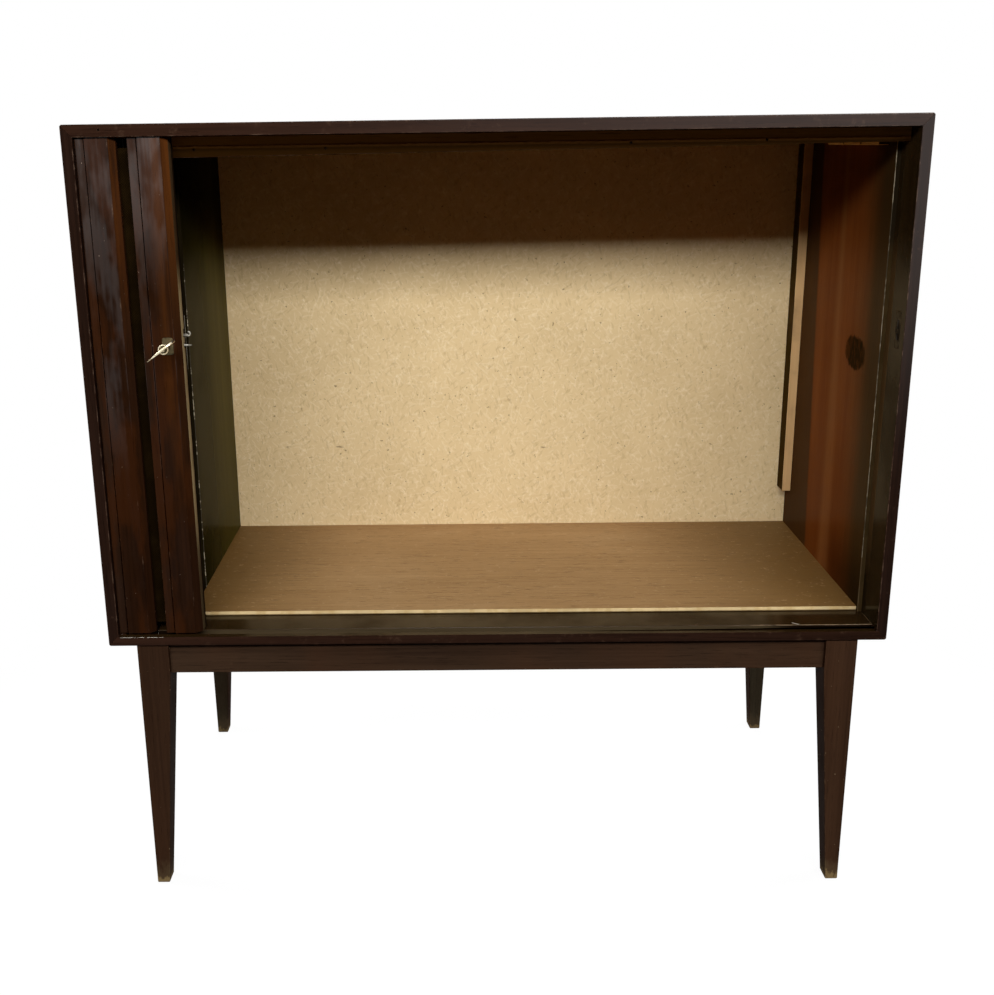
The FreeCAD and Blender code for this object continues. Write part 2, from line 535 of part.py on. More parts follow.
BOW_BASE = "(-key_reach - slat_setback + bow_high)"
BOW_MIDDLE = f"({BOW_BASE} - bow_high / 2)"
bow_outer = stadium("bow_wide", "bow_high", BOW_MIDDLE)
bow_eye = stadium("(bow_wide - 2 * bow_rim)", "(bow_high - 2 * bow_rim)", BOW_MIDDLE)
BIT_THICK = "(bit_room - 2 * bolt_play)"
SHANK_END = f"(lock_wall + bolt_play + {BIT_THICK})"
key_shank = rod("0", SHANK_END, "0", "keyhole - key_clear", f"{SHANK_END} - {BOW_BASE} + bow_rim / 2", TIPPED)
key_collar = rod("0", f"{BOW_BASE} + collar_thick", "0", "collar", "collar_thick", TIPPED)
key_bit = box("0", f"{SHANK_END} - {BIT_THICK}", "-bow_thick / 2", "bit_long", BIT_THICK, "bow_thick")
key = place(joined([cut(bow_outer, [bow_eye]), key_shank, key_collar, key_bit]), KEY_X, STILE_FACE, KEY_Z)
key.Placement.Rotation = FreeCAD.Rotation(FreeCAD.Vector(0, -1, 0), value["bow_tilt"])
node("key", key)

doc.recompute()

for thing in doc.Objects:
    if "Invalid" in thing.State or "Error" in thing.State:
        raise RuntimeError(f"{thing.Name} ({thing.Label}) did not build: {thing.State}")
os.makedirs("parts", exist_ok=True)
for thing in nodes:
    if thing.Shape.isNull() or not thing.Shape.isValid():
        raise RuntimeError(f"{thing.Label} has no valid shape")
for thing in nodes:
    thing.Shape.exportStep(f"parts/{thing.Label}.step")
print(len(nodes), "sub-parts written,", side_count, "slats on the side run,", rear_count, "on the rear run")
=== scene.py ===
import json
import math
import bpy
from mathutils import Matrix, Vector


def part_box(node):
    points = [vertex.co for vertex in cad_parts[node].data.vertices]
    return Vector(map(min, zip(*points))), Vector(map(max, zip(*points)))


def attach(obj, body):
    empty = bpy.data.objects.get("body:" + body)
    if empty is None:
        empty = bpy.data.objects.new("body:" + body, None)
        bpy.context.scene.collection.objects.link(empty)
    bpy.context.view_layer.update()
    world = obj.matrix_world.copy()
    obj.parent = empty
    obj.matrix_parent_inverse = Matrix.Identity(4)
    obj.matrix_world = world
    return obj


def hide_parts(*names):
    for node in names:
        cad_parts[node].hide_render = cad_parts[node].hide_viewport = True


# Tambour bar cabinet on tapered legs, its slatted door slid open into the pocket on the left.
# Metres, Z up, front towards -Y. Sizes are read from the frame or named in the section that uses them.
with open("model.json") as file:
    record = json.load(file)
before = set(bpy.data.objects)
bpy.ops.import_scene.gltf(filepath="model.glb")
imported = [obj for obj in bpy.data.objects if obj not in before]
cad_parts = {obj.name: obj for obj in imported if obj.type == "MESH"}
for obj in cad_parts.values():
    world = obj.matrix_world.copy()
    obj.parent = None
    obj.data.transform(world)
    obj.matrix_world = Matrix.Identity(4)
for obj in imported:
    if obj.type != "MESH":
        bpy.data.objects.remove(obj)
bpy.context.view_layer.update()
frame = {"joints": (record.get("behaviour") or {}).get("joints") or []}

# Case panels: four veneered boards, mitred at the corners and sanded round there, with the curtain's
# track ploughed into top and bottom. Dark red-brown lacquer, rubbed to paler wood along the arrises,
# glossy on the sill and chipped at the lower left. The right panel follows with the strike.


class Wire:
    """A socket of a node tree. Sums and products of wires add Math nodes."""

    def __init__(self, tree, socket=None):
        self.tree = tree
        self.socket = socket

    def node(self, kind, inputs=None, out=0, **settings):
        """Add a node, its settings first, then the values or wires of its inputs; gives one output."""
        made = self.tree.nodes.new("ShaderNode" + kind)
        for name, setting in settings.items():
            setattr(made, name, setting)
        for key, given in (inputs or {}).items():
            if isinstance(given, Wire):
                self.tree.links.new(given.socket, made.inputs[key])
            else:
                made.inputs[key].default_value = given
        return Wire(self.tree, made.outputs[out] if made.outputs else None)

    def __add__(self, other):
        return self.node("Math", {0: self, 1: other}, operation="ADD")

    def __sub__(self, other):
        return self.node("Math", {0: self, 1: other}, operation="SUBTRACT")

    def __rsub__(self, other):
        return self.node("Math", {0: other, 1: self}, operation="SUBTRACT")

    def __mul__(self, other):
        return self.node("Math", {0: self, 1: other}, operation="MULTIPLY")

    __radd__ = __add__

    def rise(self, low, high):
        """0 up to low, 1 from high on, smooth between; falls instead where low is above high."""
        limits = {"Value": self, "From Min": low, "From Max": high}
        return self.node("MapRange", limits, interpolation_type="SMOOTHSTEP")

    def towards(self, tone, share):
        """This colour, going over to another one by a share from 0 to 1."""
        return self.node("Mix", {0: share, 6: self, 7: (*tone, 1)}, out=2, data_type="RGBA")

    def tones(self, low, deep, high, warm):
        """A colour that goes from deep at the low value to warm at the high one."""
        ramp = self.node("ValToRGB", {"Fac": self})
        for stop, place, tone in zip(ramp.socket.node.color_ramp.elements, (low, high), (deep, warm)):
            stop.position = place
            stop.color = (*tone, 1)
        return ramp

    def noise(self, scale, detail=3, rough=0.55):
        """Cloudy noise from 0 to 1 at this place, drawn out by a scale along each axis."""
        drawn = self.node("Mapping", {"Vector": self, "Scale": scale})
        return drawn.node("TexNoise", {"Vector": drawn, "Scale": 1, "Detail": detail, "Roughness": rough})


def start_finish(name):
    """A bare material, the place on the piece, and that place as three wires along X, Y and Z."""
    material = bpy.data.materials.new(name)
    material.use_nodes = True
    material.node_tree.nodes.clear()
    place = Wire(material.node_tree).node("TexCoord", out="Object")
    return material, place, [place.node("SeparateXYZ", {0: place}, out=axis) for axis in range(3)]


def end_finish(material, tone, rough, relief, depth, **constants):
    """Join a finish's colour, roughness, relief and other values to its surface."""
    inputs = {"Base Color": tone, "Roughness": rough}
    inputs["Normal"] = relief.node("Bump", {"Height": relief, "Distance": depth, "Strength": 1})
    for name, given in constants.items():
        inputs[name.replace("_", " ").title().replace("Ior", "IOR")] = given
    surface = tone.node("BsdfPrincipled", inputs)
    surface.node("OutputMaterial", {"Surface": surface})
    return material


def grain(place, along):
    """Wood drawn out along one axis: broad figure, fine fibres and short pores, each from 0 to 1."""
    def drawn(across, length):
        return [length if axis == along else across for axis in "XYZ"]

    figure = place.noise(drawn(24, 1.4), 4)
    fibres = place.noise(drawn(330, 6), 5, 0.65)
    pores = place.noise(drawn(1100, 38), 2).rise(0.6, 0.72)
    return figure, fibres, pores


def start_wood(name, along, deep, warm, broad=0.6, spread=0.2):
    """Start a wood finish: its tone goes from deep to warm, by a broad share of figure and the rest of fibres."""
    material, place, axes = start_finish(name)
    figure, fibres, pores = grain(place, along)
    tone = (figure * broad + fibres * (1 - broad)).tones(0.5 - spread, deep, 0.5 + spread, warm)
    return material, place, axes, tone, fibres, pores


BLACK = (0, 0, 0)
CASE_DEEP, CASE_WARM, CASE_WORN = (0.009, 0.0036, 0.0020), (0.035, 0.0150, 0.0085), (0.095, 0.055, 0.034)
SILL_DEEP, SILL_WARM = (0.014, 0.007, 0.0020), (0.030, 0.015, 0.0045)


def lacquered(name, along, deep=CASE_DEEP, warm=CASE_WARM, worn_tone=CASE_WORN, worn=0.0, sheen=0.04, shine=0.0,
              worn_from=None, mark=None):
    """Stained lacquered wood; worn is how far it is rubbed through, worn_from the x from which it is rubbed most,
    shine how glossy the front edges stay at the upper right, mark a function that adds a mark to the tone."""
    material, place, (x, y, z), tone, fibres, pores = start_wood(name, along, deep, warm, spread=0.18)
    rubbed = place.noise((70, 70, 70), 4, 0.7).rise(0.62 - 0.34 * worn, 0.80 - 0.2 * worn)
    if worn_from:
        rubbed = rubbed * (x.rise(worn_from, worn_from + 0.05) * 0.85 + 0.15)
    tone = tone.towards(worn_tone, rubbed * (0.25 + 0.65 * worn))
    tone = tone.towards(BLACK, pores * 0.35)
    if mark:
        tone = mark(tone, place, x, y, z)
    smudge = place.noise((9, 9, 9), 4).rise(0.35, 0.7)
    coat = smudge * sheen * -0.6 + sheen
    if shine:
        coat = coat + x.rise(-0.35, 0.45) * z.rise(0.48, 0.87) * y.rise(-0.184, -0.188) * shine
    return end_finish(material, tone, smudge * 0.16 + rubbed * 0.2 + 0.3, fibres * 0.35 - pores * 0.6, 0.00025,
                      coat_weight=coat, coat_roughness=0.16, specular_ior_level=0.0)


def darker_track_ends(tone, place, x, y, z):
    """The track darker beyond a middle stretch, at both ends."""
    start, end, soft = -0.315, 0.300, 0.05
    clean = x.rise(start - soft, start) * x.rise(end + soft, end)
    return tone.towards((0.006, 0.003, 0.0015), 1 - clean)


def pale_scratch(tone, place, x, y, z):
    """One slanting scratch near the right end of the sill."""
    middle_x, middle_y, half_long, tip = 0.350, -0.170, 0.004, 0.001
    slant = y - middle_y + (x - middle_x) * 0.7
    scratch = slant.rise(-0.0009, -0.0004) * slant.rise(0.0009, 0.0004)
    start, end = middle_x - half_long, middle_x + half_long
    scratch = scratch * x.rise(start, start + tip) * x.rise(end, end - tip)
    return tone.towards((0.75, 0.68, 0.58), scratch * 0.9)


def white_chips(tone, place, x, y, z):
    """White filler that shows where the lower arris is chipped, at the left."""
    start, end, height = -0.437, -0.385, 0.326
    stretch = x.rise(start, start + 0.002) * x.rise(end, end - 0.003) * z.rise(height, height + 0.001)
    ragged = place.noise((150, 150, 150), 3).rise(0.42, 0.5)
    return tone.towards((0.46, 0.43, 0.38), stretch * ragged * 0.9)


def activate(piece):
    """Make a piece the only selected and the active object."""
    bpy.ops.object.select_all(action="DESELECT")
    piece.select_set(True)
    bpy.context.view_layer.objects.active = piece


def settle(name, *finishes):
    """Name the primitive that was just added, put its place into its mesh and give it its finishes."""
    piece = bpy.context.object
    activate(piece)
    piece.name = name
    piece.data.name = name
    bpy.ops.object.transform_apply(location=True, rotation=True, scale=True)
    for finish in finishes:
        piece.data.materials.append(finish)
    return piece


def block(name, low, high, *finishes):
    """A cube primitive stretched from one corner to the other."""
    low, high = Vector(low), Vector(high)
    bpy.ops.mesh.primitive_cube_add(size=1, location=(low + high) / 2)
    bpy.context.object.scale = high - low
    return settle(name, *finishes)


def rod(name, start, end, radius, *finishes, sides=24):
    """A cylinder primitive from one point to another."""
    start, end = Vector(start), Vector(end)
    bpy.ops.mesh.primitive_cylinder_add(vertices=sides, radius=radius, depth=(end - start).length,
                                        location=(start + end) / 2,
                                        rotation=(end - start).to_track_quat("Z", "Y").to_euler())
    return settle(name, *finishes)


def pick(piece, kind, test):
    """Open a piece in edit mode with only those points, edges or faces selected that pass a test."""
    activate(piece)
    bpy.ops.object.mode_set(mode="EDIT")
    bpy.ops.mesh.select_mode(type=kind)
    bpy.ops.mesh.select_all(action="DESELECT")
    bpy.ops.object.mode_set(mode="OBJECT")
    mesh = piece.data
    if kind == "VERT":
        for point in mesh.vertices:
            point.select = test(point.co)
    elif kind == "EDGE":
        for edge in mesh.edges:
            edge.select = test(*(mesh.vertices[end].co for end in edge.vertices))
    else:
        for face in mesh.polygons:
            face.select = test(face)
    bpy.ops.object.mode_set(mode="EDIT")


def close():
    """Leave edit mode."""
    bpy.ops.object.mode_set(mode="OBJECT")


def shift(piece, test, move):
    """Move the points that pass a test."""
    pick(piece, "VERT", test)
    bpy.ops.transform.translate(value=move)
    close()


def slice_off(piece, point, outward):
    """Plane off what lies beyond a plane and close the cut."""
    pick(piece, "VERT", lambda co: True)
    bpy.ops.mesh.bisect(plane_co=point, plane_no=outward, use_fill=True, clear_outer=True)
    close()


def score(piece, point, across):
    """Cut a loop of edges round a piece without parting it."""
    pick(piece, "VERT", lambda co: True)
    bpy.ops.mesh.bisect(plane_co=point, plane_no=across)
    close()


def combine(piece, tools, operation):
    """Cut tools out of a piece, or weld them to it; new faces keep the tools' finish."""
    for tool in tools:
        step = piece.modifiers.new("step", "BOOLEAN")
        step.operation = operation
        step.solver = "EXACT"
        step.material_mode = "TRANSFER"
        step.object = tool
        activate(piece)
        bpy.ops.object.modifier_apply(modifier=step.name)
        bpy.data.objects.remove(tool)
    return piece


def cut(piece, *tools):
    """Cut tools out of a piece."""
    return combine(piece, tools, "DIFFERENCE")


def ease(piece, radius, edges=None, finish=-1, steps=1):
    """Round the edges that pass a test, or else every sharp edge that is left."""
    pick(piece, "EDGE", edges or (lambda a, b: False))
    if edges is None:
        bpy.ops.mesh.edges_select_sharp(sharpness=math.radians(50))
    bpy.ops.mesh.bevel(offset=radius, segments=steps, affect="EDGES", material=finish)
    close()


def at(value, plane):
    """Whether a coordinate lies on a plane."""
    return abs(value - plane) < 1e-5


def in_planes(**planes):
    """A test for edges that lie in all the given planes, such as y=0.1."""
    return lambda a, b: all(at(getattr(end, axis), plane) for axis, plane in planes.items() for end in (a, b))


def facing(way, plane=None):
    """A test for faces that look along an axis, such as -y, and lie in a plane across it if one is given."""
    sign, axis = (1 if way[0] == "+" else -1), way[1]
    return lambda face: (sign * getattr(face.normal, axis) > 0.9
                         and (plane is None or at(getattr(face.center, axis), plane)))


def face_finish(piece, number, test):
    """Give the faces that pass a test another of the piece's finishes."""
    for face in piece.data.polygons:
        if test(face):
            face.material_index = number


def fit(piece, body, slot, *nodes):
    """Smooth a finished piece and let it stand for its nodes on their body."""
    activate(piece)
    bpy.ops.object.shade_smooth_by_angle(angle=math.radians(40))
    flat = piece.modifiers.new("flat", "WEIGHTED_NORMAL")
    flat.keep_sharp = True
    bpy.ops.object.modifier_apply(modifier=flat.name)
    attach(piece, body)
    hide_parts(*nodes)
    return piece


case_x = lacquered("case lacquer, grain across", "X", worn=0.16, shine=0.75)
case_z = lacquered("case lacquer, grain upright", "Z", (0.0055, 0.0024, 0.0014), (0.0215, 0.0095, 0.0056), shine=0.75)
case_side = lacquered("side lacquer, grain upright", "Z")
case_arris = lacquered("rubbed case arris", "X", worn_tone=(0.125, 0.080, 0.055), worn=0.55, shine=0.6)
case_sill = lacquered("glossy sill", "X", SILL_DEEP, SILL_WARM, sheen=0.62, mark=pale_scratch)
case_under = lacquered("raw underside", "X", (0.055, 0.024, 0.007), (0.130, 0.057, 0.018), sheen=0.0)
track_wall = lacquered("track rubbed by the curtain", "X", (0.036, 0.025, 0.012), (0.070, 0.049, 0.026), sheen=0.1,
                       mark=darker_track_ends)
case_bare = lacquered("bare ridge of the track", "X", SILL_DEEP, SILL_WARM, (0.17, 0.115, 0.065), worn=0.95, sheen=0.3,
                      worn_from=0.27)
foot_chips = lacquered("chipped lower arris", "X", worn=0.35, mark=white_chips)
case_raw = lacquered("ploughed track", "X", (0.006, 0.003, 0.0015), (0.020, 0.010, 0.005))

past = 0.001
beyond = 0.01
corner_cut = 0.0013
arris = 0.0009
seam = 0.00025
sill_round = 0.0008
slat_base = 0.005
track_play = 0.001
track_deep = 0.006
turn_pocket = 0.036
nail_deep = 0.004
top_nail_x, top_nail_z, top_nail = -0.4098, 0.8952, 0.0011
lip_drop = 0.0025
case_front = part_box("case_top")[0].y
top_low, top_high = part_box("case_top")
top_wall = top_high.z - top_low.z
side_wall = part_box("case_left")[1].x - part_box("case_left")[0].x
case_low, case_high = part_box("case_left")[0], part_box("case_right")[1]
inner_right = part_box("case_right")[0].x
slat_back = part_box("canvas_front")[0].y
side_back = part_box("canvas_side")[0].x
rear_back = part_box("canvas_rear")[1].y
track_front = slat_back - slat_base - track_play


def mitred_panel(name, node, through, inner_low, along, inset, *finishes):
    """A board whose inner face is shorter than its outer one at both ends, with its two tips planed off."""
    low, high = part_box(node)
    piece = block(name, low, high, *finishes)
    inner = low[through] if inner_low else high[through]
    for end, way in ((low[along], 1), (high[along], -1)):
        move = [0, 0, 0]
        move[along] = way * inset
        shift(piece, lambda co: at(co[through], inner) and at(co[along], end), move)
    for x, x_way in ((case_low.x, -1), (case_high.x, 1)):
        for z, z_way in ((case_low.z, -1), (case_high.z, 1)):
            outward = Vector((x_way, 0, z_way)).normalized()
            slice_off(piece, Vector((x, 0, z)) - outward * corner_cut, outward)
    return piece


def track_cutters(low_z):
    """Cutters of the curtain's groove along the front, the left side and part of the back."""
    left, front = side_back - slat_base - track_play, track_front
    back = rear_back + slat_base + track_play
    wide = slat_base + 2 * track_play
    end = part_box("canvas_rear")[1].x + track_play
    runs = [((left, front), (inner_right, front + wide)), ((left, front), (left + wide, back)),
            ((left, back - wide), (end, back)), ((left, front), (left + turn_pocket, front + turn_pocket)),
            ((left, back - turn_pocket), (left + turn_pocket, back))]
    return [block("track", (*a, low_z), (*b, low_z + track_deep), case_raw) for a, b in runs]


def nail_hole(x, front, z, radius):
    """A cutter for a sunk nail in a front face."""
    return rod("nail hole", (x, front - past, z), (x, front + nail_deep, z), radius, case_raw, sides=10)


def finish_panel(piece, along, node):
    """Ease a panel's arrises, most where hands and sleeves rub it."""
    in_front = in_planes(y=case_front)
    ease(piece, arris, lambda a, b: in_front(a, b) and abs(a[along] - b[along]) > 0.1, finish=1, steps=3)
    ease(piece, seam, finish=1)
    return fit(piece, "case", "case_wood", node)


top = mitred_panel("top_panel", "case_top", 2, True, 0, side_wall, case_x, case_arris, case_under)
cut(top, *track_cutters(top_low.z), nail_hole(top_nail_x, case_front, top_nail_z, top_nail))
face_finish(top, 2, facing("-z", top_low.z))
finish_panel(top, 0, "case_top")

bottom = mitred_panel("bottom_panel", "case_bottom", 2, False, 0, side_wall, case_x, foot_chips, case_sill, case_bare,
                      track_wall)
floor_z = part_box("case_bottom")[1].z
ridge_y = slat_back + track_play
lip_cut = block("lip", (case_low.x + side_wall, case_front - beyond, floor_z - lip_drop),
                (inner_right, track_front, floor_z + beyond), case_x)
cut(bottom, *track_cutters(floor_z - track_deep), lip_cut)
score(bottom, (0, ridge_y, 0), (0, 1, 0))
face_finish(bottom, 4, facing("-y", ridge_y))
face_finish(bottom, 2, facing("+z", floor_z - lip_drop))
face_finish(bottom, 2, lambda face: facing("+z", floor_z)(face) and face.center.y > slat_back)


def sill_arris(a, b):
    """The sill's edges along the track and against the right panel."""
    ridge = in_planes(y=ridge_y)(a, b)
    end = in_planes(x=inner_right)(a, b) and min(a.y, b.y) > slat_back
    return in_planes(z=floor_z)(a, b) and (ridge or end)


ease(bottom, sill_round, sill_arris, finish=3, steps=2)
finish_panel(bottom, 0, "case_bottom")

left = mitred_panel("left_panel", "case_left", 0, False, 2, top_wall, case_z, case_arris, case_side)
face_finish(left, 2, facing("-x"))
finish_panel(left, 2, "case_left")

# Right panel and strike: the panel is mitred as the others are, with a mortise for the bolt. A thin plate
# of blackened brass is let flush into it, with a slot for each prong.


def painted_reflection_strip(tone, place, x, y, z):
    """Painted reflection: a paler strip on the inner face in front of the right lining, faded out low down and up in
    the top's shadow.
    """
    wide, soft = 0.0138, 0.001
    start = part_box("right_lining")[0].y - wide
    strip = y.rise(start - soft, start + soft) * z.rise(0.36, 0.46) * z.rise(0.79, 0.72)
    return tone.towards((0.075, 0.042, 0.016), strip)


def metal(name, tone, dull, rough):
    """Worn plated metal, dulled in patches and finely scratched."""
    material, place, _ = start_finish(name)
    patch = place.noise((90, 90, 90), 5, 0.65).rise(0.35, 0.68)
    lines = place.noise((240, 2400, 1800), 3)
    shade = patch.tones(0.0, tone, 1.0, dull)
    return end_finish(material, shade, patch * 0.25 + lines * 0.12 + rough, lines, 0.00006, metallic=1.0)


# The inner face gets a painted reflection strip in front of the right lining.
case_inner = lacquered("glossy inner face", "Z", (0.011, 0.006, 0.0018), (0.026, 0.015, 0.005), sheen=0.3,
                       mark=painted_reflection_strip)
blackened = metal("blackened brass", (0.040, 0.030, 0.017), (0.014, 0.010, 0.006), 0.5)
dark_metal = metal("dark screw slot", (0.05, 0.045, 0.04), (0.02, 0.018, 0.015), 0.6)
prong_play = 0.001
prong_thick = 0.003
mortise_deep = 0.009
strike_ease = 0.0002
strike_low, strike_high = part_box("strike_plate")
bolt_low, bolt_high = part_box("lock_bolt")
prong_y = (bolt_low.y + bolt_high.y) / 2
key_place = Vector(next(joint["pos_m"] for joint in frame["joints"] if joint["name"] == "key_turn"))
hook_rise, hook_high = 0.008, 0.008
bar_fall, bar_high = 0.004, 0.005
hook_foot, bar_foot = key_place.z + hook_rise, key_place.z - bar_fall


def prong_slot(foot, high, x_from, x_to, play, finish):
    """A cutter with play round one prong."""
    half = prong_thick / 2 + play
    return block("slot", (x_from, prong_y - half, foot - play), (x_to, prong_y + half, foot + high + play), finish)


def prong_slots(x_from, x_to, play, finish):
    """Cutters with play round both prongs."""
    return [prong_slot(foot, high, x_from - past, x_to + past, play, finish)
            for foot, high in ((hook_foot, hook_high), (bar_foot, bar_high))]


right = mitred_panel("right_panel", "case_right", 0, True, 2, top_wall, case_z, case_arris, case_inner, case_side)
recess = block("recess", (strike_low.x - past, strike_low.y, strike_low.z), strike_high, case_raw)
mortise = prong_slot(bar_foot, hook_foot + hook_high - bar_foot, strike_low.x, strike_low.x + mortise_deep,
                     prong_play, case_raw)
cut(right, recess, mortise)
face_finish(right, 2, lambda face: facing("-x")(face) and face.center.y > case_front + past)
face_finish(right, 3, facing("+x"))
finish_panel(right, 2, "case_right")

strike = block("strike_plate_brass", strike_low, strike_high, blackened)
cut(strike, *prong_slots(strike_low.x, strike_high.x, prong_play, dark_metal))
ease(strike, strike_ease)
fit(strike, "case", "brass", "strike_plate")

# Back board: brown hardboard over the rear edges of the panels, smooth on the outside with a faint
# pressed mottle, held by slotted countersunk screws.


def weld(piece, *tools):
    """Weld tools to a piece."""
    return combine(piece, tools, "UNION")


def screw(radius, head, head_thick, length):
    """A slotted screw with its head's top at the origin and its shank along +Z."""
    shank = rod("screw", (0, 0, head_thick / 2), (0, 0, length), radius, steel, dark_metal, sides=16)
    weld(shank, rod("head", (0, 0, 0), (0, 0, head_thick), head, steel, sides=20))
    half_long, half_wide = head * 1.2, head * 0.13
    cut(shank, block("slot", (-half_long, -half_wide, -head_thick), (half_long, half_wide, head_thick * 0.45),
                     dark_metal))
    ease(shank, head * 0.08)
    return shank


def join(pieces, name):
    """Join pieces into the first one."""
    activate(pieces[0])
    for piece in pieces:
        piece.select_set(True)
    bpy.ops.object.join()
    pieces[0].name = name
    pieces[0].data.name = name
    return pieces[0]


def copy_to(model, placement):
    """A copy of a model with its own mesh, moved there by a matrix."""
    copy = model.copy()
    copy.data = model.data.copy()
    copy.data.transform(placement)
    bpy.context.scene.collection.objects.link(copy)
    return copy


def copies(model, name, placements):
    """Copies of a model at several places, joined into one piece; the model itself goes."""
    made = [copy_to(model, placement) for placement in placements]
    bpy.data.objects.remove(model)
    return join(made, name)


def longer(least, axis=None):
    """A test for edges longer than a length, as a whole or along one axis."""
    return lambda a, b: (abs(getattr(a - b, axis)) if axis else (a - b).length) > least


def hardboard(name):
    """Pressed brown fibre board."""
    material, place, _ = start_finish(name)
    mottle = place.noise((14, 14, 14), 5)
    fleck = place.noise((420, 420, 420), 3, 0.7)
    stain = place.noise((3, 3, 3), 3).rise(0.5, 0.75)
    tone = (mottle * 0.45 + fleck * 0.55).tones(0.3, (0.115, 0.062, 0.028), 0.7, (0.215, 0.128, 0.062))
    tone = tone.towards((0.07, 0.04, 0.02), stain * 0.4)
    return end_finish(material, tone, fleck * 0.2 + 0.55, fleck, 0.0002, specular_ior_level=0.35)


steel = metal("dull plated steel", (0.40, 0.38, 0.33), (0.11, 0.10, 0.08), 0.3)
hardboard_finish = hardboard("brown hardboard")
screw_radius = 0.002
screw_head = 0.0036
screw_head_thick = 0.0014
screw_play = 0.0003
screw_end = 0.060
screw_turn = 0.9
back_bite = 0.014
board_ease = 0.0004
board_low, board_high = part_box("back_board")
across = [case_low.x + screw_end + (case_high.x - case_low.x - 2 * screw_end) * i / 4 for i in range(5)]
upward = [case_low.z + screw_end + (case_high.z - case_low.z - 2 * screw_end) * i / 2 for i in range(3)]
back_places = [(x, z) for z in (case_low.z + top_wall / 2, case_high.z - top_wall / 2) for x in across]
back_places += [(x, z) for x in (case_low.x + side_wall / 2, case_high.x - side_wall / 2) for z in upward]
board = block("back_board_sheet", board_low, board_high, hardboard_finish)
holes = []
for x, z in back_places:
    hole = rod("hole", (x, board_low.y - past, z), (x, board_high.y + past / 2, z), screw_radius + screw_play,
               hardboard_finish, sides=16)
    sink = rod("sink", (x, board_high.y - screw_head_thick, z), (x, board_high.y + past, z), screw_head + screw_play,
               hardboard_finish, sides=18)
    holes.append(weld(hole, sink))
cut(board, *holes)
ease(board, board_ease, longer(0.3))
fit(board, "case", "hardboard", "back_board")

face_back = Matrix.Rotation(math.radians(90), 4, "X")
back_screw = screw(screw_radius, screw_head, screw_head_thick, board_high.y - board_low.y + back_bite)
placements = [Matrix.Translation((x, board_high.y, z)) @ face_back @ Matrix.Rotation(screw_turn * number, 4, "Z")
              for number, (x, z) in enumerate(back_places)]
fit(copies(back_screw, "back_board_screws", placements), "case", "steel", "back_screws")

# Inner back: a sheet of raw pressed chipboard, pale beige with fine flakes that lie every way,
# scuffed here and there by what stood in front of it.


def chipboard(name, marks):
    """Raw flakes pressed into a sheet; marks are (x from, x to, height) of dark scuffs."""
    material, place, (x, y, z) = start_finish(name)

    def flakes(turn, low, high):
        laid = place.node("Mapping", {"Vector": place, "Rotation": (0, math.radians(turn), 0)})
        return laid.noise((85, 85, 310), 2, 0.4).rise(low, high)

    light = flakes(12, 0.56, 0.68) + flakes(74, 0.57, 0.68) + flakes(131, 0.56, 0.68)
    shade = flakes(40, 0.60, 0.72) + flakes(103, 0.60, 0.70)
    cloud = place.noise((9, 9, 9), 4)
    tone = cloud.tones(0.3, (0.620, 0.467, 0.254), 0.7, (0.692, 0.527, 0.293))
    tone = tone.towards((0.80, 0.66, 0.43), light * 0.27)
    tone = tone.towards((0.40, 0.265, 0.125), shade * 0.27)
    dust = place.noise((210, 210, 210), 2).rise(0.69, 0.75)
    tone = tone.towards((0.20, 0.13, 0.06), dust * 0.75)
    smear = place.noise((60, 60, 420), 3).rise(0.42, 0.6)
    for start, end, height in marks:
        line = x.rise(start, start + 0.004) * x.rise(end, end - 0.006)
        line = line * z.rise(height - 0.0025, height) * z.rise(height + 0.0025, height)
        tone = tone.towards((0.16, 0.10, 0.05), line * smear * 0.8)
    return end_finish(material, tone, 0.75 + cloud * 0.1, light - shade - dust, 0.00012, specular_ior_level=0.1)


chip_ease = 0.0005
scuffs = [(-0.2926, -0.2636, 0.4564), (-0.2202, -0.2057, 0.4557), (0.076, 0.090, 0.4525), (0.30, 0.312, 0.486)]
chip_sheet = block("chipboard_back", *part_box("inner_back"), chipboard("raw chipboard", scuffs))
ease(chip_sheet, chip_ease)
fit(chip_sheet, "case", "chipboard", "inner_back")

# Side linings: thin lacquered plywood, grain upright. The left one hides the curtain's pocket and is chipped along
# its front arris; the right one lies on the side panel, red-brown and darker towards its front edge, with one torn
# spot in the veneer.


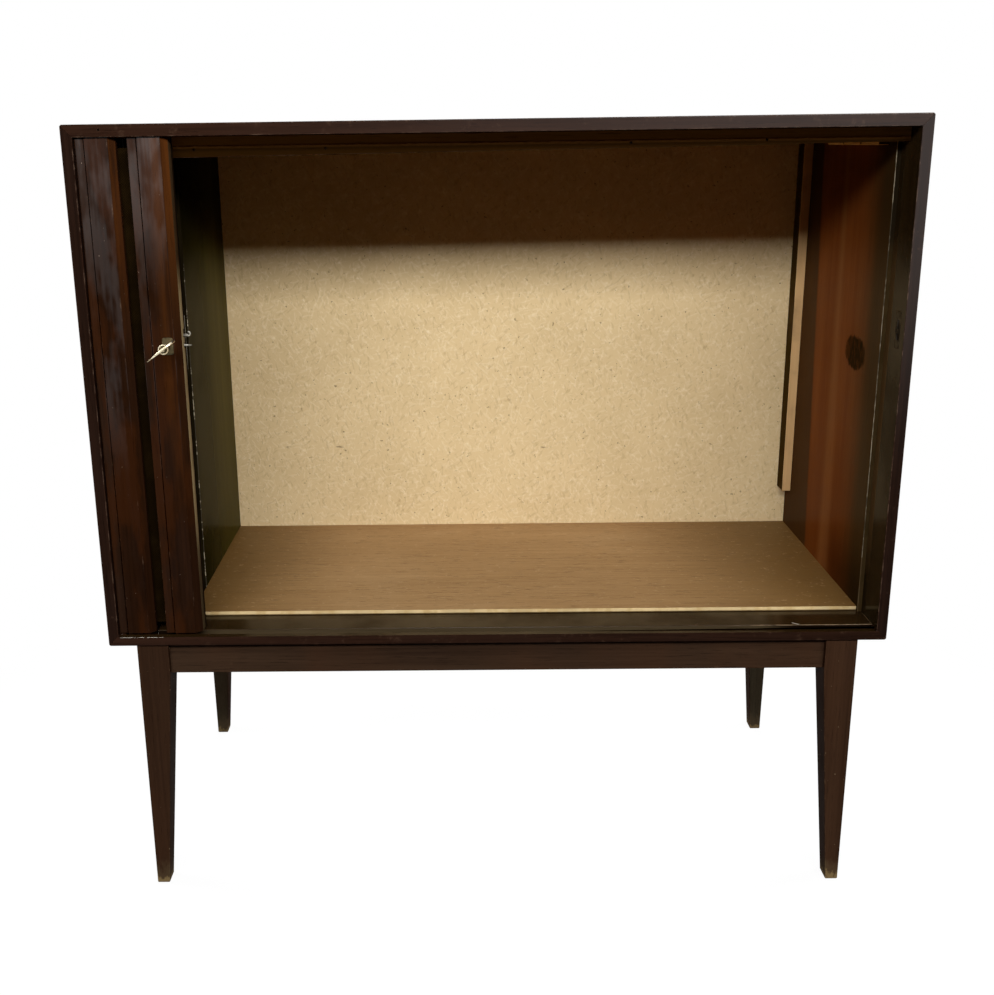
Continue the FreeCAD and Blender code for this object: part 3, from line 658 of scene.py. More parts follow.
def lining_wood(name, deep, pale, front, polish, bands=(), torn=None, top_shade=0.0):
    """Polished plywood veneer; front is (y, y, tone, share) of the darker strip at its front edge, bands are
    (y, y, softness, tone, share) of strips, torn (y, z, half width, half height) of a torn spot, and the last
    argument how much painted shade darkens it near the top; the less of it, the darker the painted shade in its lower
    front corner."""
    material, place, (x, y, z), tone, fibres, pores = start_wood(name, "Z", deep, pale, broad=0.65, spread=0.21)
    # Painted shade: the veneer darker towards the bottom.
    tone = tone.towards(deep, z.rise(0.58, 0.38) * 0.6)
    start, end, edge_tone, share = front
    wander = place.noise((1, 40, 4), 3) * 0.03
    tone = tone.towards(edge_tone, (y + wander).rise(start, end) * share)
    for rear, forward, soft, band_tone, band_share in bands:
        lean = y - z * 0.07 + 0.03
        strip = lean.rise(forward, forward + soft) * y.rise(rear + soft, rear)
        tone = tone.towards(band_tone, strip * band_share)
    tone = tone.towards(BLACK, pores * 0.3)
    # Painted shade: black in the lower front corner and near the top, with less sheen there.
    corner = z.rise(0.43, 0.355) * y.rise(0.03, -0.04) * 0.8
    tone = tone.towards(BLACK, z.rise(0.70, 0.82) * top_shade + corner * (1 - top_shade))
    smudge = place.noise((6, 6, 6), 3).rise(0.4, 0.7)
    coat = smudge * polish * -0.4 + polish
    coat = coat * (1 - z.rise(0.72, 0.84) * top_shade) * (1 - corner)
    relief = fibres * 0.4 - pores * 0.5
    if torn:
        middle_y, middle_z, half_wide, half_high = torn
        ragged = place.noise((1, 150, 60), 5, 0.7) * 1.1
        from_y, from_z = (y - middle_y) * (1 / half_wide), (z - middle_z) * (1 / half_high)
        spot = (from_y * from_y + from_z * from_z + ragged).rise(1.45, 1.15)
        stripe = place.noise((1, 260, 70), 3).rise(0.40, 0.62)
        tone = tone.towards((0.028, 0.016, 0.005), spot * (1 - stripe * 0.3))
        relief = relief - spot * (stripe + 1)
        coat = coat * (1 - spot)
    return end_finish(material, tone, smudge * 0.15 + 0.45, relief, 0.0002, coat_weight=coat, coat_roughness=0.22,
                      specular_ior_level=0.0)


def ply_edge(name, pale, dirt, clean=0.45, soft=0.2, spots=30, dark_below=None, painted_shade_above=None):
    """Raw plywood edge: pale wood, soiled where its noise is above clean; dark below a height, a glue line on the
    floor edge and painted shade on the right lining's arris; painted shade above a height.
    """
    material, place, (x, y, z) = start_finish(name)
    fibres = place.noise((40, 700, 40), 4)
    soil = place.noise((55, 55, spots), 4, 0.7).rise(clean, clean + soft)
    tone = fibres.tones(0.3, [0.7 * part for part in pale], 0.7, pale).towards(dirt, soil * 0.9)
    if dark_below:
        tone = tone.towards((0.08, 0.05, 0.02), z.rise(dark_below + 0.0005, dark_below) * 0.9)
    if painted_shade_above:
        tone = tone.towards((0.012, 0.008, 0.004), z.rise(painted_shade_above, painted_shade_above + 0.04))
    return end_finish(material, tone, 0.7 + soil * 0.1, fibres, 0.0002, specular_ior_level=0.0)


# Painted shade: the right lining's arris darkened below 0.40; the left lining's chips and the right lining's edge
# darkened above a height.
raw_ply = ply_edge("rubbed plywood arris", (0.40, 0.34, 0.24), (0.02, 0.015, 0.008), 0.38, dark_below=0.40)
chipped_ply = ply_edge("chipped plywood arris", (0.62, 0.55, 0.40), (0.012, 0.009, 0.005), 0.41, 0.06, 95,
                       painted_shade_above=0.71)
dark_ply = ply_edge("stained plywood edge", (0.016, 0.011, 0.004), (0.008, 0.005, 0.002))
soiled_ply = ply_edge("soiled plywood edge", (0.047, 0.029, 0.011), (0.030, 0.018, 0.006), painted_shade_above=0.74)
left_finish = lining_wood("left lining veneer", (0.047, 0.0375, 0.0064), (0.083, 0.0665, 0.0130),
                          (0.17, 0.00, (0.0125, 0.0102, 0.0018), 0.85), 0.2, top_shade=0.75)
right_finish = lining_wood("right lining veneer", (0.135, 0.035, 0.0055), (0.240, 0.073, 0.015),
                           (-0.010, -0.105, (0.042, 0.026, 0.008), 0.9), 0.12,
                           [(0.220, 0.090, 0.012, (0.048, 0.025, 0.008), 0.85),
                            (0.020, -0.018, 0.024, (0.30, 0.120, 0.036), 0.45)],
                           torn=(-0.052, 0.630, 0.040, 0.023), top_shade=0.4)
lining_ease = 0.0006
for side, inside, finishes in (("left", 1, (left_finish, chipped_ply, dark_ply)),
                               ("right", 0, (right_finish, raw_ply, soiled_ply))):
    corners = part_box(side + "_lining")
    lining = block(side + "_lining_board", *corners, *finishes)
    face_finish(lining, 2, facing("-y"))
    ease(lining, lining_ease, in_planes(y=corners[0].y, x=corners[inside].x), finish=1)
    fit(lining, "case", side + "_veneer", side + "_lining")

# Floor board: thin plywood laid on the bottom panel, worn brown lacquer with the grain running across, with painted
# shade at both sides, its front edge left raw.


def floor_wood(name):
    """Worn brown lacquer over plywood, with short dark pores and pale wear."""
    material, place, (x, y, z), tone, fibres, pores = start_wood(
        name, "X", (0.275, 0.150, 0.058), (0.45, 0.275, 0.122), broad=0.4, spread=0.22)
    dashes = place.noise((60, 420, 420), 3).rise(0.56, 0.68)
    wear = place.noise((5, 9, 5), 4).rise(0.45, 0.75)
    tone = tone.towards((0.52, 0.35, 0.18), wear * 0.35)
    # Painted shade: the floor darkened towards both sides, outside the middle stretch.
    unshaded_middle = x.rise(-0.37, -0.17) * x.rise(0.40, 0.16)
    tone = tone.towards((0.168, 0.088, 0.023), (1 - unshaded_middle) * 0.92)
    tone = tone.towards((0.12, 0.06, 0.022), dashes * 0.42 + pores * 0.2)
    speck = place.noise((150, 190, 150), 3, 0.6).rise(0.60, 0.72)
    tone = tone.towards((0.55, 0.38, 0.20), speck * 0.35)
    return end_finish(material, tone, wear * 0.1 + 0.5, fibres * 0.5 - dashes, 0.0002, specular_ior_level=0.15)


floor_ease = 0.0004
glue_line = 0.0011
floor_low, floor_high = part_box("floor_board")
floor_edge = ply_edge("raw floor edge", (0.70, 0.53, 0.28), (0.50, 0.345, 0.155), dark_below=floor_low.z + glue_line)
floor_board = block("floor_board_ply", floor_low, floor_high, floor_wood("worn floor lacquer"), floor_edge)
face_finish(floor_board, 1, facing("-y"))
ease(floor_board, floor_ease, in_planes(y=floor_low.y), finish=1)
fit(floor_board, "case", "floor_veneer", "floor_board")

# Header rail: a strip under the top that guides the curtain, planed a little narrower towards its right end and
# fixed with four sunk nails. Thinly stained above; painted shade darkens its lower half, where the lamp lights it.


def painted_shade_below(tone, place, x, y, z):
    """Painted shade below a height, first brown, then nearly black, where the lamp lights the rail's lower half."""
    height = 0.8785
    tone = tone.towards((0.12, 0.048, 0.011), z.rise(height + 0.0012, height - 0.0012))
    return tone.towards((0.0145, 0.0058, 0.0010), z.rise(height, height - 0.0044))


# The mark paints shade over the rail's lower half.
header_wood = lacquered("header stain", "X", (0.28, 0.215, 0.105), (0.55, 0.430, 0.215), sheen=0.0, mark=painted_shade_below)
header_left = 0.0225
header_right = 0.015
header_ease = 0.0006
header_nail = 0.0016
header_low, header_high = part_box("header_rail")
header = block("header_strip", header_low, header_high, header_wood, case_arris)
shift(header, lambda co: at(co.z, header_low.z) and at(co.x, header_high.x), (0, 0, header_left - header_right))
nail_places = ((-0.3185, 0.8740), (-0.1786, 0.8740), (0.1443, 0.8752), (0.2871, 0.8764))
cut(header, *[nail_hole(x, header_low.y, z, header_nail) for x, z in nail_places])
ease(header, header_ease, longer(0.3, "x"), finish=1, steps=2)
fit(header, "case", "case_wood", "header_rail")

# Corner batten and glue blocks: raw softwood strips, sawn square and glued in the right-hand corner. The batten's
# side towards the room is painted dark as painted shade, and the blocks' ends have taken up stain.


def softwood(name, along, pale, brown):
    """Raw sawn pine with soft growth rings and a little grime."""
    material, place, _, tone, fibres, _ = start_wood(name, along, brown, pale, broad=0.5)
    grime = place.noise((18, 18, 18), 4).rise(0.5, 0.8)
    tone = tone.towards((0.12, 0.075, 0.035), grime * 0.4)
    return end_finish(material, tone, 0.65 + fibres * 0.1, fibres, 0.0003, specular_ior_level=0.0)


raw_batten = softwood("raw batten", "Z", (0.72, 0.47, 0.23), (0.56, 0.345, 0.155))
# Painted shade on the batten's side towards the room, and stain on the glue blocks' end faces.
shade_and_stain = softwood("batten side shade and block end stain", "Z", (0.072, 0.042, 0.010), (0.038, 0.022, 0.006))
raw_block = softwood("raw glue block", "Y", (0.75, 0.45, 0.19), (0.55, 0.31, 0.12))
batten_ease = 0.0006
block_ease = 0.0008
block_gap = 0.005
block_count = 3
batten = block("batten_strip", *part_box("corner_batten"), raw_batten, shade_and_stain)
face_finish(batten, 1, facing("-x"))
ease(batten, batten_ease)
fit(batten, "case", "raw_wood", "corner_batten")

blocks_low, blocks_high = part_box("glue_blocks")
block_long = (blocks_high.y - blocks_low.y - block_gap * (block_count - 1)) / block_count
glue_block = block("glue block", blocks_low, (blocks_high.x, blocks_low.y + block_long, blocks_high.z), raw_block,
                   shade_and_stain)
for way in ("-y", "+y"):
    face_finish(glue_block, 1, facing(way))
ease(glue_block, block_ease)
steps = [Matrix.Translation((0, number * (block_long + block_gap), 0)) for number in range(block_count)]
fit(copies(glue_block, "glue_block_row", steps), "case", "raw_wood", "glue_blocks")

# Legs: solid stained wood, plumb on the two outer faces and tapered on the inner ones below the aprons,
# worn bare at the feet. The back legs' front faces are painted paler and greyer, painted light in their shade.


def leg_wood(name, along, foot=0.0, worn=0.0, deep=(0.018, 0.0082, 0.0044), warm=(0.049, 0.0240, 0.0122)):
    """Satin stain; foot is the height up to which it has worn to bare wood."""
    material, place, (x, y, z), tone, fibres, pores = start_wood(name, along, deep, warm)
    red = place.noise((5, 5, 3), 3).rise(0.45, 0.75)
    tone = tone.towards((0.060, 0.021, 0.008), red * 0.35)
    rubbed = place.noise((80, 80, 80), 4, 0.7).rise(0.66 - 0.3 * worn, 0.8 - 0.15 * worn)
    tone = tone.towards((0.13, 0.075, 0.04), rubbed * (0.2 + 0.6 * worn))
    if foot:
        nick = place.noise((330, 330, 240), 1).rise(0.77, 0.80)
        tone = tone.towards((0.30, 0.22, 0.13), nick * 0.6)
        ragged = place.noise((110, 110, 60), 4, 0.65) * foot * 4 + z
        tone = tone.towards((0.115, 0.080, 0.042), ragged.rise(foot * 5.2, foot * 3.4) * (0.35 + 0.5 * worn))
        tone = tone.towards((0.215, 0.150, 0.066), ragged.rise(foot * 3.0, foot * 2.4) * 0.8)
    tone = tone.towards(BLACK, pores * 0.35)
    smudge = place.noise((10, 10, 10), 4).rise(0.35, 0.7)
    return end_finish(material, tone, smudge * 0.15 + 0.36, fibres * 0.35 - pores * 0.6, 0.00025,
                      coat_weight=smudge * -0.02 + 0.035, coat_roughness=0.22, specular_ior_level=0.0)


foot_wide = 0.015
foot_deep = 0.022
foot_worn = 0.010
foot_ease = 0.0012
leg_ease = 0.0009
apron_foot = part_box("apron_front")[0].z
leg_finish = leg_wood("leg stain", "Z", foot_worn)
leg_arris = leg_wood("rubbed leg arris", "Z", foot_worn, worn=0.5)
# Painted light: a paler, greyer stain on the back legs' front faces, which stand in shade.
painted_light_leg = leg_wood("dusty leg stain", "Z", foot_worn, deep=(0.026, 0.0205, 0.0125), warm=(0.070, 0.0570, 0.0350))
for place in ("front_left", "front_right", "back_left", "back_right"):
    low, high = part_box("leg_" + place)
    taper_x, taper_y = high.x - low.x - foot_wide, high.y - low.y - foot_deep
    inner_x, x_move = (high.x, -taper_x) if "left" in place else (low.x, taper_x)
    inner_y, y_move = (high.y, -taper_y) if "front" in place else (low.y, taper_y)
    leg = block("tapered_leg_" + place, low, high, leg_finish, leg_arris, painted_light_leg)
    # The back legs' front faces get the painted light.
    if "back" in place:
        face_finish(leg, 2, facing("-y"))
    score(leg, (0, 0, apron_foot), (0, 0, 1))
    shift(leg, lambda co: at(co.z, low.z) and at(co.x, inner_x), (x_move, 0, 0))
    shift(leg, lambda co: at(co.z, low.z) and at(co.y, inner_y), (0, y_move, 0))
    ease(leg, leg_ease, longer(0.02, "z"), finish=1, steps=2)
    ease(leg, foot_ease, lambda a, b: max(a.z, b.z) < 0.002, finish=1)
    fit(leg, "case", "base_wood", "leg_" + place)

# Aprons: four stained rails between the legs, set a little back from their faces, with the grain along each rail
# and the lower arrises eased.
APRON_TONES = {"deep": (0.018, 0.0092, 0.0052), "warm": (0.050, 0.0280, 0.0158)}
apron_x = leg_wood("apron stain, grain across", "X", **APRON_TONES)
apron_y = leg_wood("apron stain, grain front to back", "Y", **APRON_TONES)
apron_ease = 0.0010
apron_seam = 0.0003
for side in ("front", "back", "left", "right"):
    low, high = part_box("apron_" + side)
    rail = block("apron_rail_" + side, low, high, apron_x if side in ("front", "back") else apron_y, leg_arris)
    ease(rail, apron_ease, lambda a, b: in_planes(z=low.z)(a, b) and longer(0.1)(a, b), finish=1, steps=2)
    ease(rail, apron_seam, finish=1)
    fit(rail, "case", "base_wood", "apron_" + side)

# Screw blocks: six blocks of raw softwood behind the aprons, glued to them and bored through. One slotted steel
# screw goes up through each into the case.
sawn_x = softwood("sawn block, grain across", "X", (0.46, 0.30, 0.145), (0.30, 0.18, 0.08))
base_bite = 0.006
base_block = 0.020
base_block_long = 0.060
base_block_ease = 0.0010
base_offset = 0.260
base_turn = 0.7
half_long, half_block = base_block_long / 2, base_block / 2
blocks_foot, blocks_top = case_low.z - base_block, case_low.z
side_low, side_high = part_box("apron_left")
middle_y = (side_low.y + side_high.y) / 2
behind_front, before_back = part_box("apron_front")[1].y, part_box("apron_back")[0].y
beside_left, beside_right = side_high.x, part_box("apron_right")[0].x
block_middles = [(way * base_offset, y, half_long, half_block)
                 for y in (behind_front + half_block, before_back - half_block) for way in (1, -1)]
block_middles += [(x, middle_y, half_block, half_long) for x in (beside_left + half_block, beside_right - half_block)]
made_blocks = []
for x, y, half_x, half_y in block_middles:
    made = block("screw block", (x - half_x, y - half_y, blocks_foot), (x + half_x, y + half_y, blocks_top), sawn_x,
                 case_raw)
    cut(made, rod("bore", (x, y, blocks_foot - past), (x, y, blocks_top + past), screw_radius + screw_play, case_raw,
                  sides=16))
    ease(made, base_block_ease, longer(0.015))
    made_blocks.append(made)
fit(join(made_blocks, "screw_block_set"), "case", "raw_wood", "base_blocks")

base_screw = screw(screw_radius, screw_head, screw_head_thick, screw_head_thick + base_block + base_bite)
placements = [Matrix.Translation((x, y, blocks_foot - screw_head_thick)) @ Matrix.Rotation(base_turn * number, 4, "Z")
              for number, (x, y, _, _) in enumerate(block_middles)]
fit(copies(base_screw, "base_block_screws", placements), "case", "steel", "base_screws")

# Curtain slats: each is moulded from one strip, with a lip, a quirk beside it, a flat face and a bevel on the
# leading side, and a tongue at each end that runs in the track. Glossy dark stain, orange along the bevel.


def slat_lacquer(name, deep=(0.0080, 0.0030, 0.0013), warm=(0.0255, 0.0098, 0.0042), worn=0.0, amber=0.0,
                 amber_rise=(0.64, 0.86), amber_side=None, sheen=1.0, sheen_from=0.50):
    """Glossy stain in dark and reddish blotches, with a patchy haze of sheen above a height and an amber tone that
    comes in between two heights, or between two x on the leading side."""
    material, place, (x, y, z), tone, fibres, pores = start_wood(name, "Z", deep, warm)
    blotch = place.noise((34, 34, 9), 4, 0.6).rise(0.46, 0.62)
    tone = tone.towards((0.036, 0.0105, 0.0028), blotch * 0.55)
    streak = place.noise((120, 120, 3), 3).rise(0.30, 0.62)
    golden = streak * (z.rise(*amber_rise) * 0.9 + 0.06) * amber
    if amber_side:
        golden = golden * x.rise(*amber_side)
    tone = tone.towards((0.100, 0.031, 0.006), golden)
    rubbed = place.noise((110, 110, 60), 4, 0.7).rise(0.70 - 0.3 * worn, 0.84 - 0.15 * worn)
    tone = tone.towards((0.15, 0.09, 0.055), rubbed * (0.10 + 0.6 * worn))
    nick = place.noise((300, 300, 220), 1).rise(0.80, 0.84)
    tone = tone.towards((0.30, 0.22, 0.17), nick * 0.8)
    tone = tone.towards(BLACK, pores * 0.3)
    cloud = place.noise((36, 36, 13), 3, 0.6) * 0.7 + place.noise((170, 170, 5), 2, 0.5) * 0.3
    haze = cloud.rise(0.44, 0.60)
    film = z.rise(sheen_from, sheen_from + 0.16) * haze * 0.5 + z.rise(0.76, 0.85) * (haze * 0.2 + 0.25)
    return end_finish(material, tone, haze * 0.1 + 0.3, fibres * 0.3 - pores * 0.5, 0.0002,
                      coat_weight=(film + haze * 0.03) * sheen, coat_roughness=0.18, specular_ior_level=0.0)


slat_face = slat_lacquer("slat lacquer")
slat_arris = slat_lacquer("rubbed slat arris", worn=0.5)
slat_bevel = slat_lacquer("amber slat bevel", amber=0.5, sheen=0.04)
slat_end = slat_lacquer("chipped slat end", worn=0.9)
slat_lip = slat_lacquer("rubbed slat lip", (0.0095, 0.0042, 0.0021), (0.029, 0.0130, 0.0070), worn=0.2, sheen=1.1,
                        sheen_from=0.66)
slat_count = 15
last_side_slat = 8
tongue_long = 0.005
tongue_start = 0.009
tongue_wide = 0.025
lip_wide = 0.0093
lip_thick = 0.0095
quirk = 0.001
face_wide = 0.024
touch = 0.0001
front_ease = 0.0007
end_ease = 0.0005
slat_seam = 0.0002
slat_low, slat_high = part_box("tambour_slat_01")
slat_wide, slat_thick = slat_high.x - slat_low.x, slat_high.y - slat_low.y
slat_foot, slat_top = slat_low.z + tongue_long, slat_high.z - tongue_long
face_start = lip_wide + quirk
face_end = face_start + face_wide


def slat_section(name):
    """One slat with its left back edge on the Z axis and its face towards -Y."""
    piece = block(name, (0, -slat_thick, slat_foot), (slat_wide, 0, slat_top), slat_face, slat_arris, slat_bevel,
                  slat_end, slat_lip)
    fall = Vector((slat_wide - face_end, slat_thick - slat_base, 0))
    slice_off(piece, (face_end, -slat_thick, 0), Vector((fall.y, -fall.x, 0)).normalized())
    lip_cut = block("lip", (-beyond, -slat_thick - beyond, slat_foot - beyond),
                    (lip_wide + quirk / 2, -lip_thick, slat_top + beyond), slat_face)
    quirk_cut = block("quirk", (lip_wide, -slat_thick - beyond, slat_foot - beyond),
                      (face_start, -slat_base, slat_top + beyond), slat_face)
    cut(piece, lip_cut, quirk_cut)
    face_finish(piece, 2, lambda face: face.normal.x > 0.2 and face.normal.y < -0.2)
    face_finish(piece, 4, facing("-y", -lip_thick))
    return piece


def tongues(left, back):
    """The tongues that run in the track, for a slat whose left back edge has this x and y."""
    start = left + tongue_start
    return block("tongue", (start, back - slat_base, slat_low.z), (start + tongue_wide, back, slat_high.z), slat_face)


def front_arris(left, back):
    """A test for the long arrises of lip and face, for a slat whose left back edge has this x and y."""
    return lambda a, b: (max(a.y, b.y) < back - lip_thick + touch and longer(0.3, "z")(a, b)
                         and min(a.x, b.x) < left + face_end + touch)


def end_arris(a, b):
    """The front arrises of a slat's two ends."""
    return abs(a.z - b.z) < 1e-6 and max(a.y, b.y) < -slat_base and (at(a.z, slat_foot) or at(a.z, slat_top))


slat = slat_section("slat")
weld(slat, tongues(0, 0))
ease(slat, front_ease, front_arris(0, 0), finish=1, steps=2)
ease(slat, end_ease, end_arris, finish=3)
ease(slat, slat_seam)
turns = {"front": 0, "side": -90, "rear": 180}
bodies = {"front": "tambour_lead", "side": "tambour_side_run", "rear": "tambour_rear_run"}
slats_of = {run: [] for run in bodies}
for number in range(1, slat_count + 1):
    node = f"tambour_slat_{number:02d}"
    run = "front" if number == 1 else "side" if number <= last_side_slat else "rear"
    low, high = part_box(node)
    corner = {"front": (low.x, high.y), "side": (high.x, high.y), "rear": (high.x, low.y)}[run]
    piece = copy_to(slat, Matrix.Translation((*corner, 0)) @ Matrix.Rotation(math.radians(turns[run]), 4, "Z"))
    piece.name = f"curtain_slat_{number:02d}"
    piece.data.name = piece.name
    slats_of[run].append(piece.name)
    fit(piece, bodies[run], "slat_wood", node)
bpy.data.objects.remove(slat)

# Canvas: cotton duck, dark with glue, stuck across the backs of the slats in one strip for each straight run.
# It is stretched flat and moves with its slats.


def canvas_cloth(name):
    """Plain weave soaked with dark glue."""
    material, place, (x, y, z) = start_finish(name)
    weave = 2400
    warp = place.node("Math", {0: (x + y) * weave}, operation="SINE")
    weft = place.node("Math", {0: z * weave}, operation="SINE")
    cloth = warp * weft * 0.5 + 0.5
    glue = place.noise((25, 25, 25), 4).rise(0.4, 0.7)
    tone = (cloth * 0.6 + glue * 0.4).tones(0.2, (0.004, 0.0021, 0.0006), 0.8, (0.0125, 0.0068, 0.0020))
    return end_finish(material, tone, 0.85 - glue * 0.1, cloth, 0.0003, specular_ior_level=0.0)


cloth = canvas_cloth("glued canvas")
canvas_cuts = 6
for run, body in bodies.items():
    low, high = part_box("canvas_" + run)
    strip = block("canvas_strip_" + run, low, high, cloth)
    pick(strip, "FACE", lambda face: True)
    bpy.ops.mesh.subdivide(number_cuts=canvas_cuts)
    close()
    fit(strip, body, "canvas", "canvas_" + run)

# Lock stile: the leading slat, with a thick bar behind it for the lock and raw wood on its closing edge,
# darkened near the top where the stain ran over it. A pocket, a keyhole and two slots are cut into it.


def closing_edge(name):
    """Raw wood rubbed and soiled by hands, stained over near the top, with painted shade along its rear part."""
    material, place, (x, y, z) = start_finish(name)
    _, fibres, _ = grain(place, "Z")
    soil = place.noise((40, 40, 14), 4, 0.65).rise(0.45, 0.75)
    tone = fibres.tones(0.3, (0.24, 0.18, 0.090), 0.7, (0.36, 0.275, 0.145))
    tone = tone.towards((0.10, 0.06, 0.025), soil * 0.5)
    ragged = place.noise((60, 60, 25), 3) * 0.04 + z
    tone = tone.towards((0.03, 0.013, 0.005), ragged.rise(0.745, 0.785) * 0.92)
    tone = tone.towards((0.035, 0.022, 0.011), ragged.rise(0.52, 0.42) * 0.9)
    # Painted shade: the rear part of the closing edge made nearly black.
    tone = tone.towards((0.01, 0.006, 0.003), y.rise(-0.1685, -0.1675))
    return end_finish(material, tone, 0.6 + soil * 0.1, fibres, 0.0002, specular_ior_level=0.0)


lock_edge = 0.003
pocket_wide = 0.022
pocket_high = 0.046
lock_wall = 0.010
keyhole = 0.0027
bolt_play = 0.0005
stile_low, stile_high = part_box("lock_stile")
canvas_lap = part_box("canvas_front")[1].x
canvas_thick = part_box("canvas_front")[1].y - slat_back
pocket_right = stile_high.x - lock_edge
pocket_left = pocket_right - pocket_wide
pocket_front = key_place.y + lock_wall
pocket_foot, pocket_top = key_place.z - pocket_high / 2, key_place.z + pocket_high / 2
stile = slat_section("lock_stile_moulding")
stile.data.transform(Matrix.Translation((stile_low.x, slat_back, 0)))
stile.data.materials[0] = slat_lacquer("stile lacquer", amber=0.34, amber_rise=(0.46, 0.66),
                                       amber_side=(stile_low.x + 0.012, stile_low.x + 0.030), sheen=1.4,
                                       sheen_from=0.70)
stile.data.materials[2] = slat_lacquer("amber stile bevel", amber=0.62, sheen=0.0)
bar = block("bar", (canvas_lap + canvas_thick, slat_back - slat_base / 2, slat_foot),
            (stile_high.x, stile_high.y, slat_top), slat_face)
weld(stile, bar, tongues(stile_low.x, slat_back))
lock_pocket = block("pocket", (pocket_left, pocket_front, pocket_foot),
                    (pocket_right, stile_high.y + beyond, pocket_top), case_raw)
bore = rod("bore", (key_place.x, stile_low.y - beyond, key_place.z), (key_place.x, pocket_front + past, key_place.z),
           keyhole, case_raw)
cut(stile, lock_pocket, bore, *prong_slots(pocket_right, stile_high.x, bolt_play, case_raw))
stile.data.materials.append(closing_edge("raw closing edge"))
edge_number = len(stile.data.materials) - 1
face_finish(stile, edge_number, facing("+x", stile_high.x))
ease(stile, front_ease, front_arris(stile_low.x, slat_back), finish=1, steps=2)
ease(stile, slat_seam)
fit(stile, "tambour_lead", "slat_wood", "lock_stile")

# Lock: a plated steel case let into the back of the stile, its flange over the pocket with two sunk screw holes,
# and a bolt with a curled hook above and a straight prong below.
flange = 0.0015
flange_hole = 0.0022
flange_end = 0.0035
lock_ease = 0.0004
lock_low, lock_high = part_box("lock_case")
lock_body = block("lock_case_steel", (pocket_left, bolt_high.y + bolt_play, pocket_foot),
                  (pocket_right, lock_high.y - flange / 2, pocket_top), steel)
weld(lock_body, block("flange", (lock_low.x, lock_high.y - flange, lock_low.z), lock_high, steel))
flange_middle = (lock_low.x + lock_high.x) / 2
for z in (lock_low.z + flange_end, lock_high.z - flange_end):
    cut(lock_body, rod("sink", (flange_middle, lock_high.y - flange * 0.6, z),
                       (flange_middle, lock_high.y + beyond, z), flange_hole, dark_metal, sides=16))
ease(lock_body, lock_ease, longer(0.006))
fit(lock_body, "tambour_lead", "steel", "lock_case")

bolt_plate_right = pocket_right - bolt_play
bolt_plate_high = 0.030
hook_bar_low, hook_bar_high = 0.0005, 0.003
prong_front, prong_back = prong_y - prong_thick / 2, prong_y + prong_thick / 2
prong_tip = 0.0012
prong_taper = (1, 0.5, 0.4)
curl_radius = 0.0033
curl_wire = 0.0010
curl_x, curl_z = bolt_high.x - curl_radius, hook_foot + curl_radius
bolt = block("bolt_plate_with_prongs", (bolt_low.x, bolt_low.y, key_place.z - bolt_plate_high / 2),
             (bolt_plate_right, bolt_high.y, key_place.z + bolt_plate_high / 2), steel)
stem = block("stem", (bolt_plate_right - past, prong_front, hook_foot + hook_bar_low),
             (curl_x, prong_back, hook_foot + hook_bar_high), steel)
bpy.ops.mesh.primitive_torus_add(major_segments=28, minor_segments=10, major_radius=curl_radius - curl_wire,
                                 minor_radius=curl_wire, location=(curl_x, prong_y, curl_z),
                                 rotation=(math.radians(90), 0, 0))
curl = settle("curl", steel)
cut(curl, block("opening", (curl_x - 2 * curl_radius, prong_y - beyond, curl_z),
                (curl_x, prong_y + beyond, hook_foot + 3 * curl_radius), steel))
prong = block("prong", (bolt_plate_right - past, prong_front, bar_foot + prong_tip),
              (bolt_high.x, prong_back, bar_foot + bar_high - prong_tip / 2), steel)
pick(prong, "FACE", facing("+x"))
bpy.ops.transform.resize(value=prong_taper, center_override=(bolt_high.x, prong_y, bar_foot + bar_high / 2))
close()
weld(bolt, stem, curl, prong)
ease(bolt, lock_ease, steps=2)
fit(bolt, "lock_bolt", "steel", "lock_bolt")

# Escutcheon: a small stamped plate of tarnished brass with rounded corners, laid round the keyhole and held by
# two pins.
tarnished = metal("tarnished brass", (0.085, 0.066, 0.034), (0.028, 0.022, 0.011), 0.42)
plate_corner = 0.0025
plate_ease = 0.0003
pin_radius = 0.0009
pin_proud, pin_deep = 0.0003, 0.0004
pin_end = 0.0028
plate_low, plate_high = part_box("escutcheon")
plate = block("keyhole_plate", plate_low, plate_high, tarnished)
ease(plate, plate_corner, longer(0.0005, "y"), steps=4)
ease(plate, plate_ease, in_planes(y=plate_low.y), steps=2)
cut(plate, rod("bore", (key_place.x, plate_low.y - past, key_place.z), (key_place.x, plate_high.y + past, key_place.z),
               keyhole, dark_metal))
weld(plate, *[rod("pin", (key_place.x, plate_low.y - pin_proud, z), (key_place.x, plate_low.y + pin_deep, z),
                  pin_radius, tarnished, sides=12) for z in (plate_low.z + pin_end, plate_high.z - pin_end)])
fit(plate, "tambour_lead", "brass", "escutcheon")

